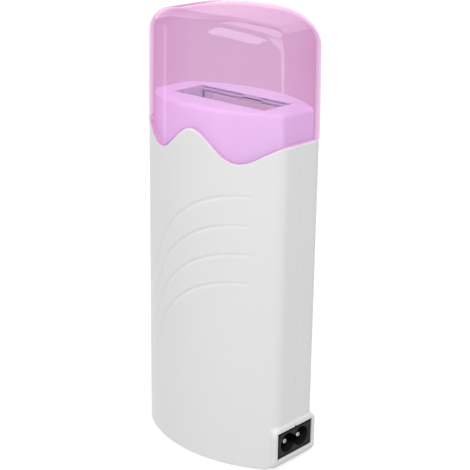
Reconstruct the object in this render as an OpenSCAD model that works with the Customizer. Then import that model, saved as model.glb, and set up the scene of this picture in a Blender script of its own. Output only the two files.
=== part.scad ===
// Roll-on wax heater with a see-through lid: two casing shells, a neck frame with the cartridge slot, a
// heated sleeve behind it and a two-pin mains inlet low on the right side. It stands on its base, +Z is
// up, the front faces -Y, and the origin is on the table under the middle of the casing.

/* [Casing] */
// Width of the casing, side to side
body_w = 74.4; // [72:0.2:80]
// Depth of the casing, over the crowns of its front and back
body_d = 47.2; // [45:0.2:54]
// Half of the depth of the flat sides, measured where the bowed faces would meet them
side_edge = 10.6; // [9:0.1:13]
// Radius of the four upright corners
corner_r = 3.8; // [3:0.1:6]
// Wall of the shells
wall = 1.8; // [1.4:0.1:2.4]
// Floor of the shells
floor_t = 2.4; // [2:0.1:4]
// Gap at the seam between the two shells
seam = 0.1; // [0:0.02:0.3]

/* [Lid] */
// Height of the whole heater with its lid on
total_h = 186.3; // [176:0.1:200]
// How far the lid's lower edge stands out of the casing's flat sides
lid_proud_x = 0.1; // [0:0.05:0.6]
// How far the lid stands out of the casing's bowed front and back
lid_proud_y = 0.6; // [0:0.05:1]
// How far each side of the lid draws in up to its domed top
lid_draft = 0.8; // [0:0.05:1]
// Wall of the lid
lid_wall = 2; // [1.2:0.1:2.4]
// Radius between the lid's walls and its top
lid_fillet = 7; // [4:0.5:9]
// How far the top falls towards the two sides
lid_arch = 4.7; // [1:0.1:7]
// Gap between the lid's edge and the shells
lid_gap = 0.3; // [0.1:0.05:0.6]

/* [Wave edge] */
// Height of the middle of the wave
wave_z = 136.1; // [132:0.1:140]
// Rise and fall of the wave about its middle
wave_amp = 5.7; // [2:0.1:7]
// Distance from the crest on the centre line to the trough on each side
wave_reach = 20.5; // [16:0.5:24]
// Height at which the wave ends on the flat sides
wave_side_z = 138.3; // [134:0.1:142]
// Distance over which the wave rises from its trough to the side
wave_run = 19; // [15:0.5:24]

/* [Front grooves] */
// Number of swept grooves on the front
groove_n = 4; // [1:1:6]
// Distance from one groove to the next
groove_pitch = 12; // [8:0.5:14]
// Height of the top groove where it ends on the right
groove_z = 118.6; // [110:0.1:122]
// Distance of that end from the centre line
groove_end_x = 26.5; // [20:0.5:30]
// Half width of the ellipse that each groove follows
groove_rx = 57; // [40:1:60]
// Half height of that ellipse
groove_rz = 66; // [40:1:70]
// Part of the quarter ellipse that a groove covers, in degrees
groove_turn = 77; // [40:1:80]
// Width of a groove
groove_w = 1.6; // [1:0.1:3]
// Depth of a groove
groove_depth = 0.4; // [0.2:0.05:0.8]

/* [Neck frame] */
// Play between the neck and the flat sides of the shells
neck_play_x = 0.6; // [0.2:0.05:0.8]
// Play between the neck and the bowed front and back of the shells
neck_play_y = 0.2; // [0.1:0.05:0.4]
// Height of the flat top of the neck
neck_z = 150.5; // [146:0.1:156]
// Height of the neck's lower edge, inside the shells
neck_foot_z = 124; // [121:0.5:128]
// Wall of the neck
neck_wall = 1.8; // [1.2:0.1:2.4]
// Thickness of the plate with the slot
plate_t = 1.8; // [1.2:0.1:2.6]
// Rounding of the plate's outer edge
plate_round = 1.2; // [0.4:0.1:1.6]
// Thickness of the ears that the upper case screws hold
ear_t = 2; // [1.4:0.1:3]

/* [Cartridge slot] */
// Width of the slot for the wax cartridge
slot_w = 49.1; // [46:0.1:52]
// Depth of the slot, front to back
slot_d = 17.6; // [16:0.1:19]
// Height of the guides at the two ends of the slot
guide_h = 12; // [8:0.5:16]
// Thickness of these guides
guide_t = 1.4; // [1:0.1:2]
// Width of the locating tab at the back edge of the slot
tab_w = 10; // [6:0.5:14]
// Distance of that tab from the centre line
tab_x = 2.6; // [-6:0.1:6]

/* [Heated sleeve] */
// Sheet of the aluminium sleeve
sleeve_t = 1; // [0.8:0.1:1.5]
// Play between the slot's edges and the sleeve's inner faces
sleeve_play = 0.2; // [0.1:0.05:0.4]
// Height of the sleeve's underside
sleeve_foot_z = 43; // [38:0.5:50]
// Gap between the neck's plate and the sleeve's flange, bridged by the screw bosses
flange_gap = 1.2; // [0.8:0.1:2]
// Width of the flanges along the front and back edge
flange_w = 6.4; // [6:0.1:7]
// Length of these flanges
flange_l = 38; // [36:1:39]
// Distance between two sleeve screws on one flange
flange_pitch = 32; // [26:1:33]

/* [Sleeve seat] */
// Plate under the sleeve
seat_t = 3; // [2:0.5:5]
// Wall around the foot of the sleeve
seat_rim_t = 1.4; // [1:0.1:2]
// Height of that wall above the plate
seat_rim_h = 5; // [3:0.5:8]
// Thickness of the webs that carry the seat
web_t = 1.8; // [1.2:0.1:2.6]
// Distance of the webs from the centre line
web_x = 10; // [8:0.5:12]
// Gap between the ends of the front and back webs
web_gap = 6; // [2:0.5:10]

/* [Heater] */
// Width of the heater's aluminium housing
heater_w = 24; // [22.4:0.2:25]
// Thickness of the housing
heater_t = 6.4; // [6:0.1:7.4]
// Length of the housing
heater_l = 60; // [60:1:70]
// Height of the housing's lower end
heater_z = 62; // [58:1:66]
// Wall of the housing
heater_wall = 1.4; // [1:0.1:1.5]
// Width of a ceramic tablet and its electrodes
ptc_w = 18; // [14:0.5:19]
// Thickness of a ceramic tablet
ptc_t = 2; // [1.6:0.1:2.2]
// Height of a ceramic tablet
ptc_h = 17; // [12:0.5:18]
// Number of ceramic tablets
ptc_n = 3; // [1:1:3]
// Gap between two tablets
ptc_gap = 2; // [1:0.5:3]
// Sheet of the electrodes
electrode_t = 0.4; // [0.3:0.05:0.5]
// Length of an electrode's terminal outside the housing
terminal_l = 8; // [6:0.5:10]
// Width of a terminal
terminal_w = 5; // [4:0.5:6.3]
// Distance of a terminal from the centre line
terminal_x = 5; // [3:0.5:6]
// Thickness of the insulating film
film_t = 0.2; // [0.1:0.05:0.3]
// Spring steel of the heater clamp
clamp_t = 0.8; // [0.5:0.1:1.2]
// Height of the clamp
clamp_h = 12; // [8:0.5:16]
// Height of the clamp's middle
clamp_z = 106; // [102:1:110]
// Length of a foot of the clamp
clamp_foot = 8; // [7:0.5:10]
// Radius of the rivets that hold the clamp
rivet_r = 1.4; // [1.2:0.1:1.8]

/* [Thermal fuse] */
// Radius of the fuse
fuse_r = 2; // [1.6:0.1:2.2]
// Length of the fuse
fuse_l = 10.5; // [9:0.5:12]
// Height of the fuse's lower end
fuse_z = 66; // [64:1:68]
// Distance of the fuse from the centre line
fuse_x = 17; // [16.5:0.5:18]
// Length of a lead of the fuse
lead_l = 12; // [11:0.5:13]
// Radius of a lead
lead_r = 0.5; // [0.4:0.05:0.6]
// Wall of the glass-fibre sleeving on the fuse
braid_t = 0.5; // [0.3:0.1:0.8]
// How far the sleeving passes each end of the fuse
braid_over = 4; // [2:0.5:5]
// Radius of a crimp
crimp_r = 1.7; // [1.6:0.1:2]
// Length of a crimp
crimp_l = 8; // [7:0.5:9]

/* [Mains inlet] */
// Width of the inlet's face
inlet_w = 21.5; // [20.5:0.1:22.5]
// Height of the inlet's face
inlet_h = 11.5; // [11:0.1:12.5]
// Height of the inlet's middle above the table
inlet_z = 11.2; // [10.6:0.1:12.5]
// Depth of the inlet behind its face
inlet_depth = 14; // [12.5:0.5:15]
// Width of the figure-eight recess
recess_w = 17; // [16.6:0.1:17.4]
// Height of the recess
recess_h = 8.4; // [8:0.1:8.8]
// Height of the recess at its waist
recess_waist = 6.4; // [5.5:0.1:7]
// Depth of the recess
recess_depth = 9.5; // [8.5:0.1:10]
// Distance between the two pins
pin_pitch = 8.6; // [8.4:0.1:8.8]
// Radius of a pin
pin_r = 1.2; // [1.1:0.05:1.3]
// How far the pins' tips stay behind the face
pin_setback = 1.5; // [0.5:0.1:2.5]
// Length of the solder tags behind the inlet
tag_l = 6; // [5:0.5:7]
// Width of a solder tag
tag_w = 4; // [3:0.5:5]
// Thickness of a solder tag
tag_t = 0.8; // [0.5:0.1:1]
// Half width of the raised pad around the inlet
pad_half_w = 13.1; // [12.6:0.1:14]
// Height of the pad's upper edge above the table
pad_top_z = 20; // [19:0.1:22]
// How far the pad stands out of the flat side
pad_proud = 0.8; // [0.4:0.1:1.5]
// Slope of the pad's edges, from its foot to its face
pad_bevel = 1; // [0.4:0.1:1.5]
// How far the inlet's face stays behind the pad's face
inlet_sunk = 0.5; // [0:0.1:0.8]
// Thickness of the pad's wall, behind which the inlet's flange lies
pad_wall = 4.4; // [4:0.1:5]
// Thickness of the inlet's flange
flange_t = 1.6; // [1.2:0.1:2]
// How far the flange reaches past the inlet on each side
flange_over = 1.2; // [1:0.1:1.4]

/* [Screws and feet] */
// Diameter of a screw tower
tower_d = 7.4; // [7:0.1:8]
// How far a tower sinks into the side wall
tower_sink = 0.3; // [0.1:0.1:0.6]
// Height of the lower screws
screw_low_z = 28; // [26:0.5:34]
// Height of the upper screws
screw_high_z = 112; // [108:0.5:114]
// Radius of a case screw's shank
screw_r = 1.45; // [1.2:0.05:1.6]
// Radius of a case screw's head
screw_head_r = 2.5; // [2.2:0.1:2.7]
// Height of a case screw's head
screw_head_h = 2; // [1.4:0.1:2.6]
// Distance of the screw heads' seats behind the seam
screw_seat = 8; // [6:0.5:9]
// Length of a case screw's shank
screw_l = 16.5; // [14:0.5:18]
// Radius of a foot
foot_r = 4; // [3:0.1:4.4]
// Thickness of a foot
foot_t = 2; // [1:0.1:2.2]
// How far a foot stands out of the casing's underside
foot_proud = 0.5; // [0.3:0.1:1]
// Distance of the feet from the centre line, sideways
foot_x = 25; // [20:0.5:26]
// Distance of the feet from the centre line, front to back
foot_y = 11.5; // [10:0.1:12]

/* [Wires] */
// Radius of the silicone-covered wires
wire_r = 1; // [0.7:0.1:1]

/* [Hidden] */
$fn = 96;

white = [0.93, 0.93, 0.93];
pink = [0.93, 0.66, 0.84, 0.45];
neck_white = [0.90, 0.88, 0.95];
metal = [0.78, 0.79, 0.80];
brass = [0.80, 0.66, 0.35];
steel = [0.62, 0.63, 0.65];
black = [0.12, 0.12, 0.12];
rubber = [0.2, 0.2, 0.2];
film_amber = [0.80, 0.52, 0.15];
ceramic = [0.35, 0.33, 0.32];
nylon = [0.86, 0.84, 0.78];
braid = [0.93, 0.92, 0.88];

eps = 0.01;
// Play of a screw or rivet in its hole, of a flat piece beside its neighbour and of the inlet in its window
hole_play = 0.1;
seat_play = 0.1;
window_play = 0.15;

base_z = foot_proud;
floor_z = base_z + floor_t;
half_w = body_w / 2;
half_d = body_d / 2;

lid_w = body_w + 2 * lid_proud_x;
lid_top_w = lid_w - 2 * lid_draft;
lid_d = body_d + 2 * lid_proud_y;

neck_w = body_w - 2 * wall - 2 * neck_play_x;
neck_d = body_d - 2 * wall - 2 * neck_play_y;
neck_corner_r = 2.8;

// Sleeve, from the slot it continues
plate_under_z = neck_z - plate_t;
sleeve_in_x = slot_w / 2 + sleeve_play;
sleeve_in_y = slot_d / 2 + sleeve_play;
sleeve_out_x = sleeve_in_x + sleeve_t;
sleeve_out_y = sleeve_in_y + sleeve_t;
flange_top_z = plate_under_z - flange_gap;
guide_foot_z = plate_under_z - guide_h;
flange_screw_y = sleeve_out_y + (flange_w - sleeve_t) / 2;
flange_screw_r = 1;
flange_screw_head_r = 2.1;
flange_screw_head_h = 1.4;
flange_boss_r = 2.6;
flange_screw_skin = 0.8;

// Seat under the sleeve
seat_play_xy = 0.2;
seat_in_x = sleeve_out_x + seat_play_xy;
seat_in_y = sleeve_out_y + seat_play_xy;
seat_z = sleeve_foot_z - seat_t;

// Heater stack on the back of the sleeve
heater_y = sleeve_out_y + seat_play;
heater_mid_y = heater_y + heater_t / 2;
cavity_w = heater_w - 2 * heater_wall;
cavity_t = heater_t - 2 * heater_wall;
film_w = cavity_w - 2 * seat_play;
film_d = cavity_t - seat_play;
film_over = 1;
ptc_foot_z = heater_z + (heater_l - ptc_n * ptc_h - (ptc_n - 1) * ptc_gap) / 2;
electrode_l = heater_l - 4;
electrode_z = heater_z + (heater_l - electrode_l) / 2;
clamp_x = heater_w / 2 + seat_play;
clamp_back_y = heater_y + heater_t + seat_play;
rivet_x = clamp_x + clamp_t + clamp_foot / 2;
rivet_head_r = 2.4;
rivet_head_h = 0.8;

// Fuse beside the heater
braid_in_r = fuse_r + 0.1;
braid_r = braid_in_r + braid_t;
fuse_y = sleeve_out_y + seat_play + max(braid_r, crimp_r);
crimp_grip = crimp_l / 2 - 0.5;
crimp_low_z = fuse_z - lead_l - crimp_l + crimp_grip;
crimp_high_z = fuse_z + fuse_l + lead_l - crimp_grip;
crimp_play = 0.05;

// Inlet and its pad
pad_x = half_w + pad_proud;
inlet_x = pad_x - inlet_sunk;
pad_back_x = pad_x - pad_wall;
inlet_flange_x = pad_back_x - seat_play;
inlet_flange_half_w = inlet_w / 2 + flange_over;
inlet_flange_half_h = inlet_h / 2 + flange_over / 2;
inlet_body_w = inlet_w - 1;
inlet_body_h = inlet_h - 1;
inlet_back_x = inlet_x - inlet_depth;
rib_t = 1.6;
rib_x = inlet_flange_x - flange_t - seat_play;
rib_grip = 0.8;
recess_floor_x = inlet_x - recess_depth;
pin_root_r = pin_r + 0.2;
tag_y = pin_pitch / 2;

// Towers and screws
tower_x = half_w - wall - tower_d / 2 + tower_sink;
counterbore_r = screw_head_r + 0.25;
ear_half = ear_t / 2;
ear_play = 0.1;

// Bowed front and back: radius of each arc, and how far its centre lies past the middle
function arc_r(w, d, edge) = let (a = w / 2, s = d / 2 - edge) (a * a + s * s) / (2 * s);
function arc_y(w, d, edge) = arc_r(w, d, edge) - d / 2;
// Centre of a corner's rounding, and the angle at which it meets the arc
function corner_y(w, d, edge, r) =
    sqrt(pow(arc_r(w, d, edge) - r, 2) - pow(w / 2 - r, 2)) - arc_y(w, d, edge);
function corner_a(w, d, edge, r) = atan2(w / 2 - r, corner_y(w, d, edge, r) + arc_y(w, d, edge));
// Side edge of the outline that lies inset by i within another one
function edge_in(w, d, edge, i) =
    sqrt(pow(arc_r(w, d, edge) - i, 2) - pow(w / 2 - i, 2)) - arc_y(w, d, edge);

// Points along an arc, from its first to its last angle, without the ends where skip is 1
function arc_points(centre, r, a0, a1, n, skip) =
    [for (i = [skip : n - skip]) let (a = a0 + (a1 - a0) * i / n) centre + r * [cos(a), sin(a)]];

// The barrel-shaped outline as points, anticlockwise from the right side
arc_n = 28;
corner_n = 6;
least_r = 0.6;
function barrel_points(w, d, edge, r) =
    let (
        rr = arc_r(w, d, edge), ay = arc_y(w, d, edge),
        x = w / 2 - r, y = corner_y(w, d, edge, r), a = corner_a(w, d, edge, r)
    )
    concat(
        arc_points([x, y], r, 0, 90 - a, corner_n, 0),
        arc_points([0, -ay], rr, 90 - a, 90 + a, arc_n, 1),
        arc_points([-x, y], r, 90 + a, 180, corner_n, 0),
        arc_points([-x, -y], r, 180, 270 - a, corner_n, 0),
        arc_points([0, ay], rr, 270 - a, 270 + a, arc_n, 1),
        arc_points([x, -y], r, 270 + a, 360, corner_n, 0)
    );

// The outline inset by i
module barrel(w, d, edge, r, i) {
    polygon(barrel_points(w - 2 * i, d - 2 * i, edge_in(w, d, edge, i), max(r - i, least_r)));
}

module casing_outline(i = 0) { barrel(body_w, body_d, side_edge, corner_r, i); }

module neck_outline(i = 0) {
    barrel(neck_w, neck_d, edge_in(body_w, body_d, side_edge, half_d - neck_d / 2), neck_corner_r, i);
}

// Height of the lid's lower edge at a distance x from the centre line
function wave(x) =
    let (t = (abs(x) - wave_reach) / wave_run, low = wave_z - wave_amp)
    abs(x) <= wave_reach ? wave_z + wave_amp * cos(180 * x / wave_reach)
    : t < 1 ? wave_side_z - (wave_side_z - low) * (1 + cos(180 * t)) / 2
    : wave_side_z;

// Everything above the wave, less a gap
module above_wave(gap) {
    reach = half_w + 2;
    step = 1;
    rotate([90, 0, 0])
        linear_extrude(body_d + 10, center = true)
            polygon(concat(
                [for (x = [-reach : step : reach]) [x, wave(x) - gap]],
                [[reach, total_h], [-reach, total_h]]
            ));
}

// One swept groove's band, seen from the front, with its right end at the height z
module groove_band(z) {
    n = 22;
    function ring(rx, rz) = [
        for (k = [0 : n]) let (a = groove_turn * k / n)
            [groove_end_x - rx * sin(a), z - groove_rz + rz * cos(a)]
    ];
    outer = ring(groove_rx, groove_rz);
    inner = ring(groove_rx - groove_w, groove_rz - groove_w);
    polygon(concat(outer, [for (k = [n : -1 : 0]) inner[k]]));
}

module grooves() {
    difference() {
        rotate([90, 0, 0])
            linear_extrude(half_d + 2)
                for (k = [0 : groove_n - 1]) groove_band(groove_z - k * groove_pitch);
        translate([0, 0, base_z]) linear_extrude(total_h) casing_outline(groove_depth);
    }
}

// A cylinder along Y between two places
module rod_y(x, z, r, y0, y1) {
    translate([x, y0, z]) rotate([-90, 0, 0]) cylinder(r = r, h = y1 - y0);
}

// A cylinder along X between two places
module rod_x(y, z, r, x0, x1) {
    translate([x0, y, z]) rotate([0, 90, 0]) cylinder(r = r, h = x1 - x0);
}

// A box between two corners
module block(a, b) {
    translate(a) cube(b - a);
}

module screw_places() {
    for (sx = [-1, 1], z = [screw_low_z, screw_high_z]) translate([sx * tower_x, 0, z]) children();
}

// Outer skin, floor, ribs and screw towers of both shells, before they are parted
module casing() {
    difference() {
        union() {
            difference() {
                translate([0, 0, base_z]) linear_extrude(wave_side_z + wave_amp) casing_outline();
                translate([0, 0, floor_z]) linear_extrude(total_h) casing_outline(wall);
            }
            intersection() {
                translate([0, 0, base_z]) linear_extrude(total_h) casing_outline(wall / 2);
                union() {
                    casing_ribs();
                    screw_places() rod_y(0, 0, tower_d / 2, -half_d, half_d);
                }
            }
            inlet_pad();
        }
        above_wave(lid_gap);
        inlet_window();
        inlet_pocket();
        foot_recesses();
    }
}

// Ledge under the neck, webs under the seat and ribs behind the inlet
module casing_ribs() {
    difference() {
        translate([0, 0, neck_foot_z - 2 - seat_play]) linear_extrude(2) difference() {
            casing_outline();
            casing_outline(2 * wall);
        }
        for (sx = [-1, 1])
            block([sx * tower_x - tower_d, -ear_half - ear_play, 0],
                  [sx * tower_x + tower_d, ear_half + ear_play, total_h]);
    }
    for (sx = [-1, 1], sy = [-1, 1])
        translate([sx * web_x - web_t / 2, sy > 0 ? web_gap / 2 : -half_d, base_z])
            cube([web_t, half_d - web_gap / 2, seat_z - base_z]);
    for (sy = [-1, 1])
        translate([rib_x - rib_t, sy > 0 ? inlet_flange_half_w - rib_grip : -half_d, base_z])
            cube([rib_t, half_d - inlet_flange_half_w + rib_grip, inlet_z + inlet_h / 2]);
}

// Raised pad around the inlet, bevelled at its sides and top
module inlet_pad() {
    foot_x0 = half_w - corner_r / 2;
    block([pad_back_x, -pad_half_w, base_z], [foot_x0 + eps, pad_half_w, pad_top_z]);
    hull() {
        block([foot_x0, -pad_half_w, base_z], [foot_x0 + eps, pad_half_w, pad_top_z]);
        block([pad_x - pad_bevel, -pad_half_w, base_z], [pad_x - pad_bevel + eps, pad_half_w, pad_top_z]);
        block([pad_x - eps, -pad_half_w + pad_bevel, base_z + pad_bevel / 2],
              [pad_x, pad_half_w - pad_bevel, pad_top_z - pad_bevel]);
    }
}

module inlet_window() {
    hw = inlet_w / 2 + window_play;
    hh = inlet_h / 2 + window_play;
    block([pad_back_x - eps, -hw, inlet_z - hh], [pad_x + 1, hw, inlet_z + hh]);
}

// Room for the inlet's flange behind the pad's wall
module inlet_pocket() {
    hw = inlet_flange_half_w + seat_play;
    hh = inlet_flange_half_h + seat_play;
    block([rib_x, -hw, inlet_z - hh], [pad_back_x, hw, inlet_z + hh]);
}

module foot_places() {
    for (sx = [-1, 1], sy = [-1, 1]) translate([sx * foot_x, sy * foot_y, 0]) children();
}

module foot_recesses() {
    foot_places() translate([0, 0, -eps]) cylinder(r = foot_r + hole_play, h = foot_t + eps);
}

// The front shell, with blind towers that take the case screws
module front_shell() {
    color(white) difference() {
        intersection() {
            casing();
            block([-body_w, -body_d, -1], [body_w, -seam / 2, total_h]);
        }
        grooves();
        screw_places() rod_y(0, 0, screw_r + hole_play / 2, screw_seat - screw_l - 1, 1);
        ear_pockets();
    }
}

// The back shell, with towers that the case screws pass through
module back_shell() {
    color(white) difference() {
        intersection() {
            casing();
            block([-body_w, seam / 2, -1], [body_w, body_d, total_h]);
        }
        screw_places() {
            rod_y(0, 0, screw_r + 2 * hole_play, -1, half_d);
            rod_y(0, 0, counterbore_r, screw_seat, half_d + 1);
        }
        ear_pockets();
    }
}

// Room for the neck's ears between the upper towers
module ear_pockets() {
    for (sx = [-1, 1])
        translate([sx * tower_x, 0, screw_high_z])
            rod_y(0, 0, tower_d / 2 + 1, -ear_half - ear_play, ear_half + ear_play);
}

module body_screws() {
    color(steel) screw_places() {
        rod_y(0, 0, screw_r, screw_seat - screw_l, screw_seat + eps);
        difference() {
            rod_y(0, 0, screw_head_r, screw_seat, screw_seat + screw_head_h);
            for (t = [0, 90])
                translate([0, screw_seat + screw_head_h, 0]) rotate([0, t, 0])
                    cube([0.6, 1.6, 2 * screw_head_r * 0.6], center = true);
        }
    }
}

module rubber_feet() {
    color(rubber) foot_places() cylinder(r = foot_r, h = foot_t - seat_play);
}

// Rounded-edge top plate, skirt, slot, end guides, screw bosses and the two ears
module neck_frame() {
    ear_in_x = tower_x - tower_d / 2;
    ear_out_x = min(tower_x + tower_d / 2, neck_w / 2);
    color(neck_white) difference() {
        union() {
            difference() {
                neck_body();
                translate([0, 0, neck_foot_z - 1])
                    linear_extrude(plate_under_z - neck_foot_z + 1) neck_outline(neck_wall);
            }
            end_guides();
            translate([tab_x - tab_w / 2, slot_d / 2, flange_top_z + seat_play])
                cube([tab_w, 2 * sleeve_t, flange_gap]);
            flange_places() translate([0, 0, flange_top_z]) cylinder(r = flange_boss_r, h = flange_gap + eps);
            for (sx = [-1, 1])
                translate([sx > 0 ? ear_in_x : -ear_out_x, -ear_half, screw_high_z - tower_d / 2])
                    cube([ear_out_x - ear_in_x, ear_t, neck_foot_z + neck_wall - screw_high_z + tower_d / 2]);
        }
        block([-slot_w / 2, -slot_d / 2, guide_foot_z - 1], [slot_w / 2, slot_d / 2, neck_z + 1]);
        flange_places() translate([0, 0, flange_top_z - 1])
            cylinder(r = flange_screw_r + hole_play / 2, h = neck_z - flange_screw_skin - flange_top_z + 1);
        for (sx = [-1, 1]) rod_y(sx * tower_x, screw_high_z, screw_r + hole_play, -ear_t, ear_t);
    }
}

// The neck's solid, with the plate's edge stepped in by small flats
module neck_body() {
    steps = 4;
    translate([0, 0, neck_foot_z]) linear_extrude(neck_z - plate_round - neck_foot_z) neck_outline();
    for (k = [1 : steps]) {
        a = 90 * (k - 0.5) / steps;
        top = plate_round * sin(90 * k / steps);
        translate([0, 0, neck_z - plate_round - eps])
            linear_extrude(top + eps) neck_outline(plate_round * (1 - cos(a)));
    }
}

// Plastic guides that face the ends of the cartridge, above the sleeve's end walls
module end_guides() {
    for (sx = [-1, 1])
        translate([sx > 0 ? slot_w / 2 : -slot_w / 2 - guide_t, -slot_d / 2, guide_foot_z])
            cube([guide_t, slot_d, guide_h + eps]);
}

module flange_places() {
    for (sx = [-1, 1], sy = [-1, 1])
        translate([sx * flange_pitch / 2, sy * flange_screw_y, 0]) children();
}

// Height of the lid's top, t inside its outer face, at a distance x from the centre line
function lid_top(x, t) = total_h - t - lid_arch * pow(x / (lid_top_w / 2), 2);

// One ring of the lid, i inside the outline of width w: its points take their heights from the wave
// (level 0) or from the top, less the fillet and plus a rise
function lid_ring(w, i, t, level, rise) =
    let (
        edge = edge_in(w, lid_d, side_edge, i),
        pts = barrel_points(w - 2 * i, lid_d - 2 * i, edge, max(corner_r - t, least_r))
    )
    [for (p = pts) [p.x, p.y, level == 0 ? wave(p.x) : lid_top(p.x, t) - (lid_fillet - t) + rise]];

// The rings of the lid's outer (t = 0) or inner skin, from its edge to the middle of its top
function lid_rings(t) =
    let (
        f = lid_fillet - t,
        bends = 5,
        caps = 4,
        crown = lid_ring(lid_top_w, t + f, t, 1, f)
    )
    concat(
        [lid_ring(lid_w, t, t, 0, 0)],
        [for (k = [0 : bends]) let (a = 90 * k / bends)
            lid_ring(lid_top_w, t + f * (1 - cos(a)), t, 1, f * sin(a))],
        [for (k = [1 : caps - 1]) let (s = 1 - k / caps)
            [for (p = crown) [s * p.x, s * p.y, lid_top(s * p.x, t)]]]
    );

// Side faces between rings a and b of n points each, as triangles, turned over where flip is true
function band_faces(a, b, n, flip) = [
    for (i = [0 : n - 1]) let (j = (i + 1) % n)
        for (f = [[a + i, b + i, b + j], [a + i, b + j, a + j]]) flip ? [f[2], f[1], f[0]] : f
];
function cap_faces(a, top, n, flip) = [
    for (i = [0 : n - 1]) let (j = (i + 1) % n, f = [a + i, top, a + j]) flip ? [f[2], f[1], f[0]] : f
];

// The see-through lid: one thin shell with a drip-shaped wave for its lower edge
module lid() {
    outer = lid_rings(0);
    inner = lid_rings(lid_wall);
    n = len(outer[0]);
    m = len(outer);
    inner_at = n * m;
    top_at = 2 * inner_at;
    points = concat(
        [for (r = outer) for (p = r) p], [for (r = inner) for (p = r) p],
        [[0, 0, lid_top(0, 0)], [0, 0, lid_top(0, lid_wall)]]
    );
    faces = concat(
        [for (k = [0 : m - 2]) each band_faces(n * k, n * (k + 1), n, false)],
        [for (k = [0 : m - 2]) each band_faces(inner_at + n * k, inner_at + n * (k + 1), n, true)],
        cap_faces(n * (m - 1), top_at, n, false),
        cap_faces(inner_at + n * (m - 1), top_at + 1, n, true),
        band_faces(0, inner_at, n, true)
    );
    color(pink) polyhedron(points, faces, convexity = 6);
}

// Folded aluminium sleeve, closed below, with its long walls flanged under the neck's plate
module heating_sleeve() {
    end_top_z = guide_foot_z - 2 * seat_play;
    color(metal) difference() {
        union() {
            block([-sleeve_out_x, -sleeve_out_y, sleeve_foot_z], [sleeve_out_x, sleeve_out_y, end_top_z]);
            for (sy = [-1, 1]) {
                translate([-flange_l / 2, sy > 0 ? sleeve_in_y : -sleeve_out_y, end_top_z - eps])
                    cube([flange_l, sleeve_t, flange_top_z - end_top_z + eps]);
                translate([-flange_l / 2, sy > 0 ? sleeve_in_y : -sleeve_in_y - flange_w,
                           flange_top_z - sleeve_t])
                    cube([flange_l, flange_w, sleeve_t]);
            }
        }
        block([-sleeve_in_x, -sleeve_in_y, sleeve_foot_z + sleeve_t], [sleeve_in_x, sleeve_in_y, total_h]);
        flange_places() translate([0, 0, flange_top_z - sleeve_t - 1])
            cylinder(r = flange_screw_r + hole_play, h = sleeve_t + 2);
        rivet_places() rod_y(0, 0, rivet_r + hole_play, sleeve_in_y - 1, sleeve_out_y + 1);
    }
}

module sleeve_screws() {
    under_z = flange_top_z - sleeve_t;
    color(steel) flange_places() {
        translate([0, 0, under_z - flange_screw_head_h])
            cylinder(r = flange_screw_head_r, h = flange_screw_head_h);
        translate([0, 0, under_z - eps])
            cylinder(r = flange_screw_r, h = neck_z - flange_screw_skin - under_z - seat_play);
    }
}

// Tray that the sleeve stands in, on the webs of both shells
module sleeve_seat() {
    out_x = seat_in_x + seat_rim_t;
    out_y = seat_in_y + seat_rim_t;
    color(nylon) difference() {
        block([-out_x, -out_y, seat_z], [out_x, out_y, sleeve_foot_z + seat_rim_h]);
        block([-seat_in_x, -seat_in_y, sleeve_foot_z], [seat_in_x, seat_in_y, total_h]);
    }
}

// A tube of oblong section along Z, around a place on the back of the sleeve
module flat_tube(w, d, wall_w, wall_d, z0, z1) {
    difference() {
        block([-w / 2, heater_mid_y - d / 2, z0], [w / 2, heater_mid_y + d / 2, z1]);
        block([-w / 2 + wall_w, heater_mid_y - d / 2 + wall_d, z0 - 1],
              [w / 2 - wall_w, heater_mid_y + d / 2 - wall_d, z1 + 1]);
    }
}

module heater_housing() {
    color(metal) flat_tube(heater_w, heater_t, heater_wall, heater_wall, heater_z, heater_z + heater_l);
}

module insulating_film() {
    color(film_amber)
        flat_tube(film_w, film_d, film_t, film_t, heater_z - film_over, heater_z + heater_l + film_over);
}

module ptc_tablets() {
    color(ceramic) for (k = [0 : ptc_n - 1])
        translate([-ptc_w / 2, heater_mid_y - ptc_t / 2, ptc_foot_z + k * (ptc_h + ptc_gap)])
            cube([ptc_w, ptc_t, ptc_h]);
}

// Electrode plate on one side of the tablets, with its terminal at the upper (1) or lower (-1) end
module electrode(side, end) {
    y0 = side > 0 ? heater_mid_y + ptc_t / 2 : heater_mid_y - ptc_t / 2 - electrode_t;
    top_z = electrode_z + electrode_l;
    color(brass) {
        translate([-ptc_w / 2, y0, electrode_z]) cube([ptc_w, electrode_t, electrode_l]);
        translate([end * terminal_x - terminal_w / 2, y0,
                   end > 0 ? top_z - eps : heater_z - terminal_l])
            cube([terminal_w, electrode_t,
                  end > 0 ? heater_z + heater_l + terminal_l - top_z : electrode_z - heater_z + terminal_l + eps]);
    }
}

module inner_electrode() { electrode(-1, 1); }

module outer_electrode() { electrode(1, -1); }

// Spring strap over the heater, with a riveted foot on each side
module heater_clamp() {
    z0 = clamp_z - clamp_h / 2;
    z1 = clamp_z + clamp_h / 2;
    foot_y0 = sleeve_out_y + seat_play / 2;
    out_x = clamp_x + clamp_t;
    color(steel) difference() {
        union() {
            block([-out_x, clamp_back_y, z0], [out_x, clamp_back_y + clamp_t, z1]);
            for (sx = [-1, 1]) {
                translate([sx > 0 ? clamp_x : -out_x, foot_y0, z0])
                    cube([clamp_t, clamp_back_y - foot_y0 + eps, clamp_h]);
                translate([sx > 0 ? clamp_x : -out_x - clamp_foot, foot_y0, z0])
                    cube([clamp_t + clamp_foot, clamp_t, clamp_h]);
            }
        }
        rivet_places() rod_y(0, 0, rivet_r + hole_play, sleeve_out_y - 1, sleeve_out_y + clamp_t + 1);
    }
}

module rivet_places() {
    for (sx = [-1, 1]) translate([sx * rivet_x, 0, clamp_z]) children();
}

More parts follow.
